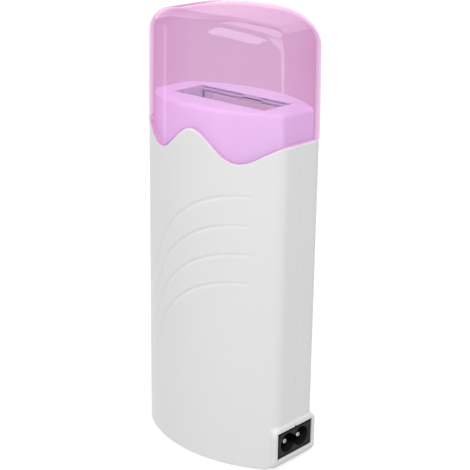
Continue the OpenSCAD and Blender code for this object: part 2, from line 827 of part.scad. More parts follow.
module clamp_rivets() {
    head_y = sleeve_out_y + seat_play / 2 + clamp_t;
    color(metal) rivet_places() {
        rod_y(0, 0, rivet_r, sleeve_in_y + seat_play / 2, head_y + eps);
        rod_y(0, 0, rivet_head_r, head_y, head_y + rivet_head_h);
    }
}

// A cylinder along Z on the fuse's axis, less a bore where bore_r is over 0
module on_fuse_axis(r, z0, z1, bore_r = 0) {
    translate([fuse_x, fuse_y, z0]) difference() {
        cylinder(r = r, h = z1 - z0);
        if (bore_r > 0) translate([0, 0, -1]) cylinder(r = bore_r, h = z1 - z0 + 2);
    }
}

module thermal_fuse() {
    color(metal) {
        on_fuse_axis(fuse_r, fuse_z, fuse_z + fuse_l);
        on_fuse_axis(lead_r, fuse_z - lead_l, fuse_z + fuse_l + lead_l);
    }
}

module fuse_sleeving() {
    color(braid) on_fuse_axis(braid_r, fuse_z - braid_over, fuse_z + fuse_l + braid_over, braid_in_r);
}

// Crimp tubes that join the fuse's leads to the wires
module wire_crimps() {
    color(brass) {
        crimp(crimp_low_z, 1);
        crimp(crimp_high_z, -1);
    }
}

// A crimp with its foot at z: the lead enters from above (1) or below (-1), the wire from the other end
module crimp(z, side) {
    web = crimp_l - 2 * crimp_grip;
    lead_z = side > 0 ? z + crimp_grip + web - crimp_play : z - 1;
    wire_z = side > 0 ? z - 1 : z + crimp_grip + web - crimp_play;
    difference() {
        on_fuse_axis(crimp_r, z, z + crimp_l);
        translate([fuse_x, fuse_y, lead_z])
            cylinder(r = lead_r + crimp_play, h = crimp_grip + crimp_play + 1);
        translate([fuse_x, fuse_y, wire_z])
            cylinder(r = wire_r + crimp_play, h = crimp_grip + crimp_play + 1);
    }
}

// Figure-eight outline of the recess, in the plane of the inlet's face
module recess_outline() {
    r = recess_h / 2;
    for (s = [-1, 1]) translate([s * (recess_w / 2 - r), 0]) circle(r = r);
    square([recess_w - 2 * r, recess_waist], center = true);
}

module inlet_body() {
    color(black) difference() {
        union() {
            block([inlet_flange_x - eps, -inlet_w / 2, inlet_z - inlet_h / 2],
                  [inlet_x, inlet_w / 2, inlet_z + inlet_h / 2]);
            block([inlet_flange_x - flange_t, -inlet_flange_half_w, inlet_z - inlet_flange_half_h],
                  [inlet_flange_x, inlet_flange_half_w, inlet_z + inlet_flange_half_h]);
            block([inlet_back_x, -inlet_body_w / 2, inlet_z - inlet_body_h / 2],
                  [inlet_flange_x - flange_t + eps, inlet_body_w / 2, inlet_z + inlet_body_h / 2]);
        }
        translate([recess_floor_x, 0, inlet_z])
            rotate([90, 0, 90]) linear_extrude(recess_depth + 1) recess_outline();
        for (s = [-1, 1])
            rod_x(s * tag_y, inlet_z, pin_root_r + crimp_play, inlet_back_x - 1, recess_floor_x + 1);
    }
}

// A round pin with a thicker root in the inlet's floor and a flat solder tag behind it
module inlet_pin(side) {
    tip = 0.5;
    pin_x = inlet_x - pin_setback;
    color(metal) {
        rod_x(side * tag_y, inlet_z, pin_root_r, inlet_back_x - eps, recess_floor_x);
        rod_x(side * tag_y, inlet_z, pin_r, recess_floor_x - eps, pin_x - tip);
        translate([pin_x - tip - eps, side * tag_y, inlet_z]) rotate([0, 90, 0])
            cylinder(r1 = pin_r, r2 = pin_r - tip, h = tip + eps);
        block([inlet_back_x - tag_l, side * tag_y - tag_t / 2, inlet_z - tag_w / 2],
              [inlet_back_x, side * tag_y + tag_t / 2, inlet_z + tag_w / 2]);
    }
}

module front_pin() { inlet_pin(-1); }

module rear_pin() { inlet_pin(1); }

// Smooth line through points, with m pieces between two of them
function blend(a, b, c, d, t) = 0.5 * (
    2 * b + (c - a) * t + (2 * a - 5 * b + 4 * c - d) * t * t + (3 * b - a - 3 * c + d) * t * t * t
);
function smooth_line(p, m) = concat(
    [for (i = [0 : len(p) - 2], j = [0 : m - 1])
        blend(p[max(i - 1, 0)], p[i], p[i + 1], p[min(i + 2, len(p) - 1)], j / m)],
    [p[len(p) - 1]]
);
function unit(v) = v / norm(v);
function square_to(n, t) = unit(n - (n * t) * t);

// A round tube of 8 sides along a line, its rings carried along without a twist
module tube(line, r) {
    sides = 8;
    count = len(line);
    along = [for (i = [0 : count - 1]) unit(line[min(i + 1, count - 1)] - line[max(i - 1, 0)])];
    across = [for (i = 0, n = square_to([0.3, 0.2, 1], along[0]); i < count;
                   i = i + 1, n = square_to(n, along[min(i, count - 1)])) n];
    points = [
        for (i = [0 : count - 1], k = [0 : sides - 1]) let (a = 360 * k / sides)
            line[i] + r * (cos(a) * across[i] + sin(a) * cross(along[i], across[i]))
    ];
    faces = concat(
        [[for (k = [0 : sides - 1]) k]],
        [for (i = [0 : count - 2]) each band_faces(sides * i, sides * (i + 1), sides, false)],
        [[for (k = [sides - 1 : -1 : 0]) sides * (count - 1) + k]]
    );
    polyhedron(points, faces, convexity = 6);
}

// Where the wires start and end: beside the tags, in the crimps and on the terminals
wire_touch = 0.1;
tag_mid_x = inlet_back_x - tag_l / 2;
tag_wire_y = tag_y + tag_t / 2 + wire_r + wire_touch;
low_wire_z = crimp_low_z + crimp_grip;
high_wire_z = crimp_high_z + crimp_l - crimp_grip;
inner_terminal_y = heater_mid_y - ptc_t / 2 + wire_r + wire_touch;
outer_terminal_y = heater_mid_y + ptc_t / 2 + electrode_t + wire_r + wire_touch;
upper_terminal_z = heater_z + heater_l + terminal_l / 2;
lower_terminal_z = heater_z - terminal_l / 2;

// Rear pin to the fuse's lower crimp
supply_line = [
    [tag_mid_x + 1.5, tag_wire_y, inlet_z], [tag_mid_x - 2.5, tag_wire_y, inlet_z],
    [15.2, 7.6, 14.5], [15.6, 10.4, 22], [16.4, 13.8, 32], [fuse_x, fuse_y + 2, seat_z],
    [fuse_x, fuse_y + 0.4, crimp_low_z - 4], [fuse_x, fuse_y, crimp_low_z - 1],
    [fuse_x, fuse_y, low_wire_z - 1.5], [fuse_x, fuse_y, low_wire_z]
];
// The fuse's upper crimp to the terminal above the heater, over the clamp's foot
fuse_line = [
    [fuse_x, fuse_y, high_wire_z], [fuse_x, fuse_y, high_wire_z + 1.5],
    [fuse_x, fuse_y, crimp_high_z + crimp_l + 1], [fuse_x, fuse_y + 0.4, crimp_high_z + crimp_l + 4],
    [fuse_x, fuse_y + 1.6, clamp_z], [fuse_x - 1, fuse_y + 1.6, clamp_z + 10],
    [fuse_x - 4.5, inner_terminal_y + 0.8, upper_terminal_z - 2],
    [terminal_x + 4.5, inner_terminal_y, upper_terminal_z], [terminal_x, inner_terminal_y, upper_terminal_z]
];
// The terminal below the heater back to the front pin
return_line = [
    [tag_mid_x + 1.5, -tag_wire_y, inlet_z], [tag_mid_x - 2.5, -tag_wire_y, inlet_z],
    [13.6, -5.4, 14.5], [13.2, 0, 21], [13, 7, 28.5], [12.9, 14.2, 36],
    [10.5, 16.4, seat_z + 4], [2, 17.2, seat_z + 9],
    [-terminal_x + 0.6, outer_terminal_y + 0.6, lower_terminal_z - 5],
    [-terminal_x, outer_terminal_y, lower_terminal_z - 1.5], [-terminal_x, outer_terminal_y, lower_terminal_z + 2]
];
line_pieces = 5;

module supply_wire() { color("firebrick") tube(smooth_line(supply_line, line_pieces), wire_r); }

module fuse_wire() { color("firebrick") tube(smooth_line(fuse_line, line_pieces), wire_r); }

module return_wire() { color("royalblue") tube(smooth_line(return_line, line_pieces), wire_r); }

front_shell();
back_shell();
body_screws();
rubber_feet();
neck_frame();
lid();
heating_sleeve();
sleeve_screws();
sleeve_seat();
heater_housing();
insulating_film();
ptc_tablets();
inner_electrode();
outer_electrode();
heater_clamp();
clamp_rivets();
thermal_fuse();
fuse_sleeving();
wire_crimps();
inlet_body();
front_pin();
rear_pin();
supply_wire();
fuse_wire();
return_wire();
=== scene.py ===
"""Looks of a roll-on wax heater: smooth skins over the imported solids, materials, light and camera.
The skins are laid out in millimetres, with the front at negative y, and Skin.build makes metres of them."""
import math

import bmesh
import bpy
import numpy as np
from mathutils import Matrix, Vector
from mathutils.geometry import tessellate_polygon


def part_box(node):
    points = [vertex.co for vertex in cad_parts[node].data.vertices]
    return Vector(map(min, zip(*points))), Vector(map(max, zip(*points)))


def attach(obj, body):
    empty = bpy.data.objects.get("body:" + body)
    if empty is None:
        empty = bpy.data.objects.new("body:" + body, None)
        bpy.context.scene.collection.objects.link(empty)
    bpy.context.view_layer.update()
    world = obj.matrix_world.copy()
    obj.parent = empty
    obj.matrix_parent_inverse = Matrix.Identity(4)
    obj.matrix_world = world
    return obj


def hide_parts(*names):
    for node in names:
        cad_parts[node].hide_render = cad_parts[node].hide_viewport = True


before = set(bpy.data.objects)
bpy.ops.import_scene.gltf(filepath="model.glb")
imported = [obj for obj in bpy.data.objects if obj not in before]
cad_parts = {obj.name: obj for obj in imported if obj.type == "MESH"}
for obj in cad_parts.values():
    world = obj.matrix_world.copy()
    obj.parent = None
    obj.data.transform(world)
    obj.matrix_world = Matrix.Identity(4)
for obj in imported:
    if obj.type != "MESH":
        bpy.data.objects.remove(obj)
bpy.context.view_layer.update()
MM = 0.001

# ---------------- camera
PHOTO_PX, FOCAL_PX, SENSOR = 470.0, 1320.0, 36.0
TILT, TURN, ROLL = (math.radians(angle) for angle in (18.81, 42.08, 0.8))
CAMERA_AT = Vector((0.3488, -0.3835, 0.2686))


def add_camera():
    ahead = Vector((-math.sin(TURN) * math.cos(TILT), math.cos(TURN) * math.cos(TILT), -math.sin(TILT)))
    right = Vector((math.cos(TURN), math.sin(TURN), 0.0))
    up = right.cross(ahead)
    c, s = math.cos(ROLL), math.sin(ROLL)
    data = bpy.data.cameras.new("camera")
    data.sensor_width = SENSOR
    data.lens = SENSOR * FOCAL_PX / PHOTO_PX
    data.clip_start = 0.01
    obj = bpy.data.objects.new("camera", data)
    rotation = Matrix((right * c + up * s, up * c - right * s, -ahead)).transposed()
    obj.matrix_world = Matrix.Translation(CAMERA_AT) @ rotation.to_4x4()
    bpy.context.scene.collection.objects.link(obj)
    bpy.context.scene.camera = obj


add_camera()


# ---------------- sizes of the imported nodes
def corners(node):
    """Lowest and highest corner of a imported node, in millimetres."""
    return [[round(v / MM, 2) for v in corner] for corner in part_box(node)]


def middle(low, high):
    return round((low + high) / 2, 2)


shell_low, shell_high = corners("front_shell")
HALF_W, HALF_D, BASE_Z = -shell_low[0], -shell_low[1], shell_low[2]
PAD_X, SEAM_Y = shell_high[0], shell_high[1]
LID_A, LID_B, LID_TOP = corners("lid")[1]
neck_low, (NECK_A, NECK_B, PLATE_Z) = corners("neck_frame")
EAR_FOOT = neck_low[2]
inlet_low, inlet_high = corners("inlet_body")
INLET_BACK, INLET_FACE, INLET_Z = inlet_low[0], inlet_high[0], middle(inlet_low[2], inlet_high[2])
pin_low, pin_high = corners("rear_pin")
PIN_BACK, PIN_TIP, PIN_Y = pin_low[0], pin_high[0], middle(pin_low[1], pin_high[1])
FOOT_R, feet_high = 4.0, corners("rubber_feet")[1]
FOOT_X, FOOT_Y, FOOT_TOP = feet_high[0] - FOOT_R, feet_high[1] - FOOT_R, feet_high[2]
SCREW_X, SCREW_Z, SCREW_SEAT = 32.0, (28.0, 112.0), 8.0


# ---------------- mesh building
def unit(v):
    return v / np.maximum(np.linalg.norm(v, axis=-1, keepdims=True), 1e-12)


def smooth(t):
    t = np.clip(t, 0, 1)
    return t * t * (3 - 2 * t)


def nearest(values, value):
    return int(np.argmin(np.abs(values - value)))


def spaced(stops):
    """Values from the first stop to the last. Each stop is (value, step up to it)."""
    out = [stops[0][0]]
    for value, step in stops[1:]:
        n = max(1, round((value - out[-1]) / step))
        out += list(np.linspace(out[-1], value, n + 1)[1:])
    return np.array(out)


def circle(axis, centre, r, n):
    """Points of a circle that lies square to an axis."""
    w = np.linspace(0, 2 * math.pi, n, endpoint=False)
    c, s = r * np.cos(w), r * np.sin(w)
    return np.column_stack({"X": (0 * c, c, s), "Y": (c, 0 * c, s), "Z": (c, s, 0 * c)}[axis]) + centre


def ring_normals(points):
    """Normals of a grid of closed rings."""
    return unit(np.cross(np.roll(points, -1, 1) - np.roll(points, 1, 1), np.gradient(points, axis=0)))


class Skin:
    """Collects points and faces. Normals blend inside a group of faces only, and what comes without a group
    gets a new one. Points can carry their own normal for one group."""

    def __init__(self):
        self.points, self.faces, self.groups = [], [], []
        self.given = {}
        self.count = self.last_group = 0

    def new_group(self):
        self.last_group += 1
        return self.last_group

    def add(self, points, normals=None, group=None):
        """New points, as ids in the shape of the points' own grid."""
        points = np.array(points, float)
        ids = np.arange(self.count, self.count + points.size // 3)
        self.points.append(points.reshape(-1, 3))
        if normals is not None:
            self.given.setdefault(group, []).append((ids, np.reshape(normals, (-1, 3))))
        self.count += len(ids)
        return ids.reshape(points.shape[:-1])

    def all_points(self):
        return np.vstack(self.points)

    def face(self, ids, group=None):
        self.faces.append([int(i) for i in ids])
        self.groups.append(group or self.new_group())

    def grid(self, ids, group=None, closed=False, skip=None):
        group = group or self.new_group()
        rows, cols = ids.shape
        for i in range(rows - 1):
            for j in range(cols if closed else cols - 1):
                if skip is None or not skip[i, j]:
                    k = (j + 1) % cols
                    self.face([ids[i, j], ids[i, k], ids[i + 1, k], ids[i + 1, j]], group)

    def band(self, a, b, group=None, closed=True):
        self.grid(np.array([a, b]), group, closed)

    def bands(self, rows, smooth=(), closed=True):
        """Bands between rows of points. Those numbered in smooth blend into each other."""
        group = self.new_group()
        for k, (a, b) in enumerate(zip(rows[:-1], rows[1:])):
            self.band(a, b, group if k in smooth else None, closed)

    def walls(self, a, b):
        """Flat walls with sharp edges between two closed lines."""
        for k in range(len(a)):
            j = (k + 1) % len(a)
            self.face([a[k], a[j], b[j], b[k]])

    def bridge(self, a, b, group=None):
        """Triangles between two open lines of point ids, along the shorter diagonal each time."""
        group = group or self.new_group()
        points = self.all_points()
        i = j = 0
        while i < len(a) - 1 or j < len(b) - 1:
            if i == len(a) - 1 or j == len(b) - 1:
                step_a = j == len(b) - 1
            else:
                step_a = (np.linalg.norm(points[a[i + 1]] - points[b[j]])
                          <= np.linalg.norm(points[a[i]] - points[b[j + 1]]))
            if step_a:
                ids, i = [a[i], a[i + 1], b[j]], i + 1
            else:
                ids, j = [a[i], b[j + 1], b[j]], j + 1
            if len(set(ids)) == 3:
                self.face(ids, group)

    def fill(self, outer, holes, axes, group=None):
        """A region with holes, filled as seen in the plane of two axes."""
        group = group or self.new_group()
        points = self.all_points()
        loops = [list(loop) for loop in (outer, *holes)]
        ids = [i for loop in loops for i in loop]
        flat = [[Vector((*points[i][list(axes)], 0.0)) for i in loop] for loop in loops]
        for tri in tessellate_polygon(flat):
            self.face([ids[t] for t in tri], group)

    def block(self, a, b):
        """A closed box between two corners."""
        ends = np.minimum(a, b), np.maximum(a, b)
        at = self.add([[ends[k >> 2 & 1][0], ends[k >> 1 & 1][1], ends[k & 1][2]] for k in range(8)])
        for side in ((0, 1, 3, 2), (4, 5, 7, 6), (0, 1, 5, 4), (2, 3, 7, 6), (0, 2, 6, 4), (1, 3, 7, 5)):
            self.face(at[list(side)])

    def lathe(self, centre, axis, profile, n, smooth_from=None):
        """A closed turned form. The profile holds places along the axis with their radii, from 0 to 0.
        From point smooth_from on, its bands blend into each other."""
        along = np.eye(3)["XYZ".index(axis)]
        rings = [self.add(circle(axis, centre + place * along, r, n)[:n if r else 1]) for place, r in profile]
        for k, (a, b) in enumerate(zip(rings[:-1], rings[1:])):
            if smooth_from is None or k <= smooth_from:
                group = self.new_group()
            for j in range(n):
                ids = [a[j % len(a)], a[(j + 1) % len(a)], b[(j + 1) % len(b)], b[j % len(b)]]
                self.face(dict.fromkeys(ids), group)

    def corner_normals(self, mesh):
        """Normals of the face corners: given ones, or else the group's own, weighted by area."""
        sizes = np.array([len(f) for f in self.faces])
        at = np.zeros(sizes.sum(), int)
        normal, area = np.zeros(len(sizes) * 3), np.zeros(len(sizes))
        mesh.loops.foreach_get("vertex_index", at)
        mesh.polygons.foreach_get("normal", normal)
        mesh.polygons.foreach_get("area", area)
        face_of = np.repeat(np.arange(len(sizes)), sizes)
        weighted = normal.reshape(-1, 3) * area[:, None]
        group = np.array(self.groups)[face_of]
        unique, back = np.unique(at * (self.last_group + 1) + group, return_inverse=True)
        total = np.zeros((len(unique), 3))
        np.add.at(total, back, weighted[face_of])
        out = total[back]
        for given_group, blocks in self.given.items():
            own = np.full((self.count, 3), np.nan)
            for ids, normals in blocks:
                own[ids] = normals
            use = (group == given_group) & ~np.isnan(own[at, 0])
            side = np.sign(np.sum(own[at[use]] * out[use], axis=1))
            out[use] = own[at[use]] * np.where(side == 0, 1, side)[:, None]
        return unit(out)

    def build(self, name, material, body, slot, node):
        """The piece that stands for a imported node, in metres."""
        mesh = bpy.data.meshes.new(name)
        mesh.from_pydata((self.all_points() * MM).tolist(), [], self.faces)
        mesh.materials.append(material)
        shape = bmesh.new()
        shape.from_mesh(mesh)
        bmesh.ops.recalc_face_normals(shape, faces=shape.faces)
        shape.to_mesh(mesh)
        shape.free()
        mesh.polygons.foreach_set("use_smooth", [True] * len(mesh.polygons))
        mesh.update()
        mesh.normals_split_custom_set(self.corner_normals(mesh).tolist())
        obj = bpy.data.objects.new(name, mesh)
        bpy.context.scene.collection.objects.link(obj)
        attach(obj, body)
        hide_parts(node)
        return obj


# ---------------- outlines
SIDE_EDGE, CORNER_R, WALL = 10.6, 3.8, 1.8
# The wave of the lid's lower edge: a cosine in the middle, and a slower fall to each side
WAVE_Z, WAVE_AMP, WAVE_REACH = 136.1, 5.7, 20.5
WAVE_SIDE_Z, WAVE_RUN = 138.3, 19.0


def arc(a, b, edge):
    """Radius of the bowed face of an outline with the half sizes a and b, and how far its centre lies past
    the middle. edge is half the flat side's length, up to where the bow meets it without a rounding."""
    rise = b - edge
    radius = (a * a + rise * rise) / (2 * rise)
    return radius, radius - b


def corner_arc(a, b, edge, r):
    """Distance of the corner rounding's centre from the middle, and the angle at which it meets the bow."""
    radius, past = arc(a, b, edge)
    cy = np.sqrt((radius - r) ** 2 - (a - r) ** 2) - past
    return cy, np.arctan2(a - r, cy + past)


def edge_in(a, b, edge, inset):
    """The edge of an outline that lies inset within another one."""
    radius, past = arc(a, b, edge)
    return np.sqrt((radius - inset) ** 2 - (a - inset) ** 2) - past


def half_outline(t, a, b, edge, r):
    """Point on the front half of the outline. t runs from 0 at the right side's middle over 1 and 2 at the
    right corner's ends, 3 and 4 at the left corner's, to 5 at the left side's middle."""
    radius, past = arc(a, b, edge)
    cy, alpha = corner_arc(a, b, edge, r)
    turn = math.pi / 2 - alpha
    right = -turn * (t - 1)
    bow = -turn - 2 * alpha * (t - 2)
    left = -turn - 2 * alpha - turn * (t - 3)
    stretch = [t <= 1, t <= 2, t <= 3, t <= 4, t > 4]
    x = np.select(stretch, [a + 0 * t, a - r + r * np.cos(right), radius * np.cos(bow),
                            -a + r + r * np.cos(left), -a + 0 * t])
    y = np.select(stretch, [-cy * t, -cy + r * np.sin(right), past + radius * np.sin(bow),
                            -cy + r * np.sin(left), -cy * (5 - t)])
    return x, y


def stretches(a, b, edge, r):
    """Lengths of the half outline's five stretches."""
    cy, alpha = corner_arc(a, b, edge, r)
    turn = r * (math.pi / 2 - alpha)
    return [cy, turn, 2 * alpha * arc(a, b, edge)[0], turn, cy]


def t_of_s(s, *sizes):
    """The outline's t at the distance s along it from the right side's middle."""
    return np.interp(s, np.cumsum([0] + stretches(*sizes)), np.arange(6.0))


def full_outline(half_x, half_y):
    """The whole outline from its front half, anticlockwise seen from above, starting at the left side."""
    return np.concatenate([half_x[::-1], half_x[1:-1]]), np.concatenate([half_y[::-1], -half_y[1:-1]])


def wave(x):
    """Height of the lid's lower edge."""
    x = np.abs(x)
    t = np.clip((x - WAVE_REACH) / WAVE_RUN, 0, 1)
    fall = WAVE_SIDE_Z - WAVE_Z + WAVE_AMP
    return np.where(x <= WAVE_REACH, WAVE_Z + WAVE_AMP * np.cos(math.pi * x / WAVE_REACH),
                    WAVE_SIDE_Z - fall * (1 + np.cos(math.pi * t)) / 2)


# ---------------- casing shells
# Half width and half depth at the foot and at the rim, between which the casing tapers
FOOT_HALF, RIM_HALF, RIM_Z = (HALF_W + 0.1, HALF_D - 0.3), (HALF_W - 0.05, HALF_D + 0.2), 138.0
BODY_R = 5.4
FLOOR_Z, INNER_TOP = 2.9, 118.0
BOW_R, BOW_PAST = arc(HALF_W, HALF_D, SIDE_EDGE)
SIDE_Y = 9.0
LID_GAP, RIM_LIP, RIM_ROUND = 0.2, 2.3, 0.3
# Parting line: how wide and deep its groove is on each shell
SEAM_W, SEAM_DEEP = 0.25, 0.22
# Lower edge's rounding: its size on most of the outline, what it gains beside the inlet, and where
EDGE_R, EDGE_MORE_Z, EDGE_MORE_IN, EDGE_FROM_S, EDGE_RUN = 0.5, 3.5, 4.3, 16.0, 5.5
# Pad round the inlet: half width, top, rounding, and its outline's length by itself and along the casing
PAD_HALF, PAD_TOP, PAD_ROUND, PAD_PATH, PAD_END_S = 13.1, 20.0, 1.0, 16.85, 14.5
# Window for the inlet: half width, half height and bevel
WINDOW_HW, WINDOW_HH, BEVEL = 10.9, 5.9, 0.3
WINDOW_LOW, WINDOW_HIGH = INLET_Z - WINDOW_HH, INLET_Z + WINDOW_HH
HOLE_LOW, HOLE_HIGH = WINDOW_LOW - BEVEL, WINDOW_HIGH + BEVEL
HOLE_S = (WINDOW_HW + BEVEL) * PAD_END_S / PAD_PATH
WINDOW_BACK_X, INNER_HOLE_S = 35.6, 12.3
# Swept grooves on the front, each a part of an ellipse
GROOVE_N, GROOVE_PITCH, GROOVE_Z = 4, 12.0, 118.6
GROOVE_END_X, GROOVE_RX, GROOVE_RZ, GROOVE_TURN = 26.5, 57.0, 66.0, 77.0
GROOVE_MID, GROOVE_HALF, GROOVE_DEPTH, GROOVE_LEAST, GROOVE_FADE_X = 0.8, 1.0, 0.3, 0.12, 22.0
# The outer grid follows the wave above this height
WAVE_FROM, WAVE_ROWS = 120.0, 27
BORE_R, BORE_HOLE_R, BORE_PATCH = 2.75, 1.65, (3.55, 4.0)
RECESS_R, RECESS_TOP = 4.1, 1.95


def body_half(z):
    """Half width and half depth of the tapered casing at a height."""
    t = np.clip(z / RIM_Z, 0, 1)
    return [foot + (rim - foot) * t for foot, rim in zip(FOOT_HALF, RIM_HALF)]


def groove_depth(x, z):
    """How deep the swept grooves cut at a place on the front."""
    out = np.zeros(np.broadcast(x, z).shape)
    for k in range(GROOVE_N):
        foot = GROOVE_Z - GROOVE_PITCH * k - GROOVE_RZ
        u, v = (GROOVE_END_X - x) / GROOVE_RX, (z - foot) / GROOVE_RZ
        reach = np.sqrt(u * u + v * v) + 1e-9
        slope = np.sqrt((u / GROOVE_RX) ** 2 + (v / GROOVE_RZ) ** 2) / reach
        inward = (1 - reach) / slope - GROOVE_MID
        across = smooth(1.1 * np.clip(1 - np.abs(inward) / GROOVE_HALF, 0, 1))
        turn = np.degrees(np.arctan2(u, v))
        ends = smooth((GROOVE_END_X - x) / 0.5) * smooth((GROOVE_TURN - turn) / 12)
        depth = GROOVE_DEPTH - (GROOVE_DEPTH - GROOVE_LEAST) * smooth(x / GROOVE_FADE_X)
        out = np.maximum(out, np.where(v > 0, depth * across * ends, 0))
    return out


def pad_path(u):
    """The inlet pad's outline, u along it from the middle of its face."""
    flat = PAD_HALF - PAD_ROUND
    turn = np.clip((u - flat) / PAD_ROUND, 0, math.pi / 2)
    past = np.maximum(u - flat - PAD_ROUND * math.pi / 2, 0)
    return PAD_X - PAD_ROUND * (1 - np.cos(turn)) - past, -np.minimum(u, flat) - PAD_ROUND * np.sin(turn)


def skin_point(t, s, z, front):
    """Point on the casing's outer skin, before it is mirrored for the back."""
    a, b = body_half(z)
    more = smooth((EDGE_FROM_S - s) / EDGE_RUN)
    rim = np.clip(1 - (z - BASE_Z) / (EDGE_R + EDGE_MORE_Z * more), 0, 1)
    low = (EDGE_R + EDGE_MORE_IN * more) * (1 - np.sqrt(np.maximum(1 - rim**2, 0)))
    x, y = half_outline(t, a - low, b - low, SIDE_EDGE - low * 0.5, BODY_R)
    # The pad stands out of the side and blends into it at its top and at its end
    pad_x, pad_y = pad_path(np.clip(s * PAD_PATH / PAD_END_S, 0, PAD_PATH))
    pad_x, pad_y = pad_x - low, pad_y * (1 - low / PAD_HALF)
    top_run = 1.6 + 2.6 * smooth((s - 8) / 5)
    w = smooth((PAD_TOP + 0.3 - z) / top_run) * smooth((PAD_END_S - s) / 2.6)
    x, y = x + (pad_x - x) * w, y + (pad_y - y) * w
    if front:
        cut = groove_depth(x, z)
        rise = np.where(y < -5, np.sqrt(np.maximum(1 - (x / BOW_R) ** 2, 0)), 0)
        x, y = x - cut * x / BOW_R, y + cut * rise
    return x, y


def casing_inset(t, inset):
    """The casing's plain outline, inset from its outer face and cut at the parting plane."""
    x, y = half_outline(t, HALF_W - inset, HALF_D - inset, edge_in(HALF_W, HALF_D, SIDE_EDGE, inset),
                        CORNER_R - inset)
    return x, np.minimum(y, SEAM_Y)


def around(grid, low, high, side):
    """Ids along a grid's row low up to a column, up that column, and back along row high."""
    return [*grid[low, :side + 1], *grid[low + 1:high + 1, side], *grid[high, :side][::-1]]


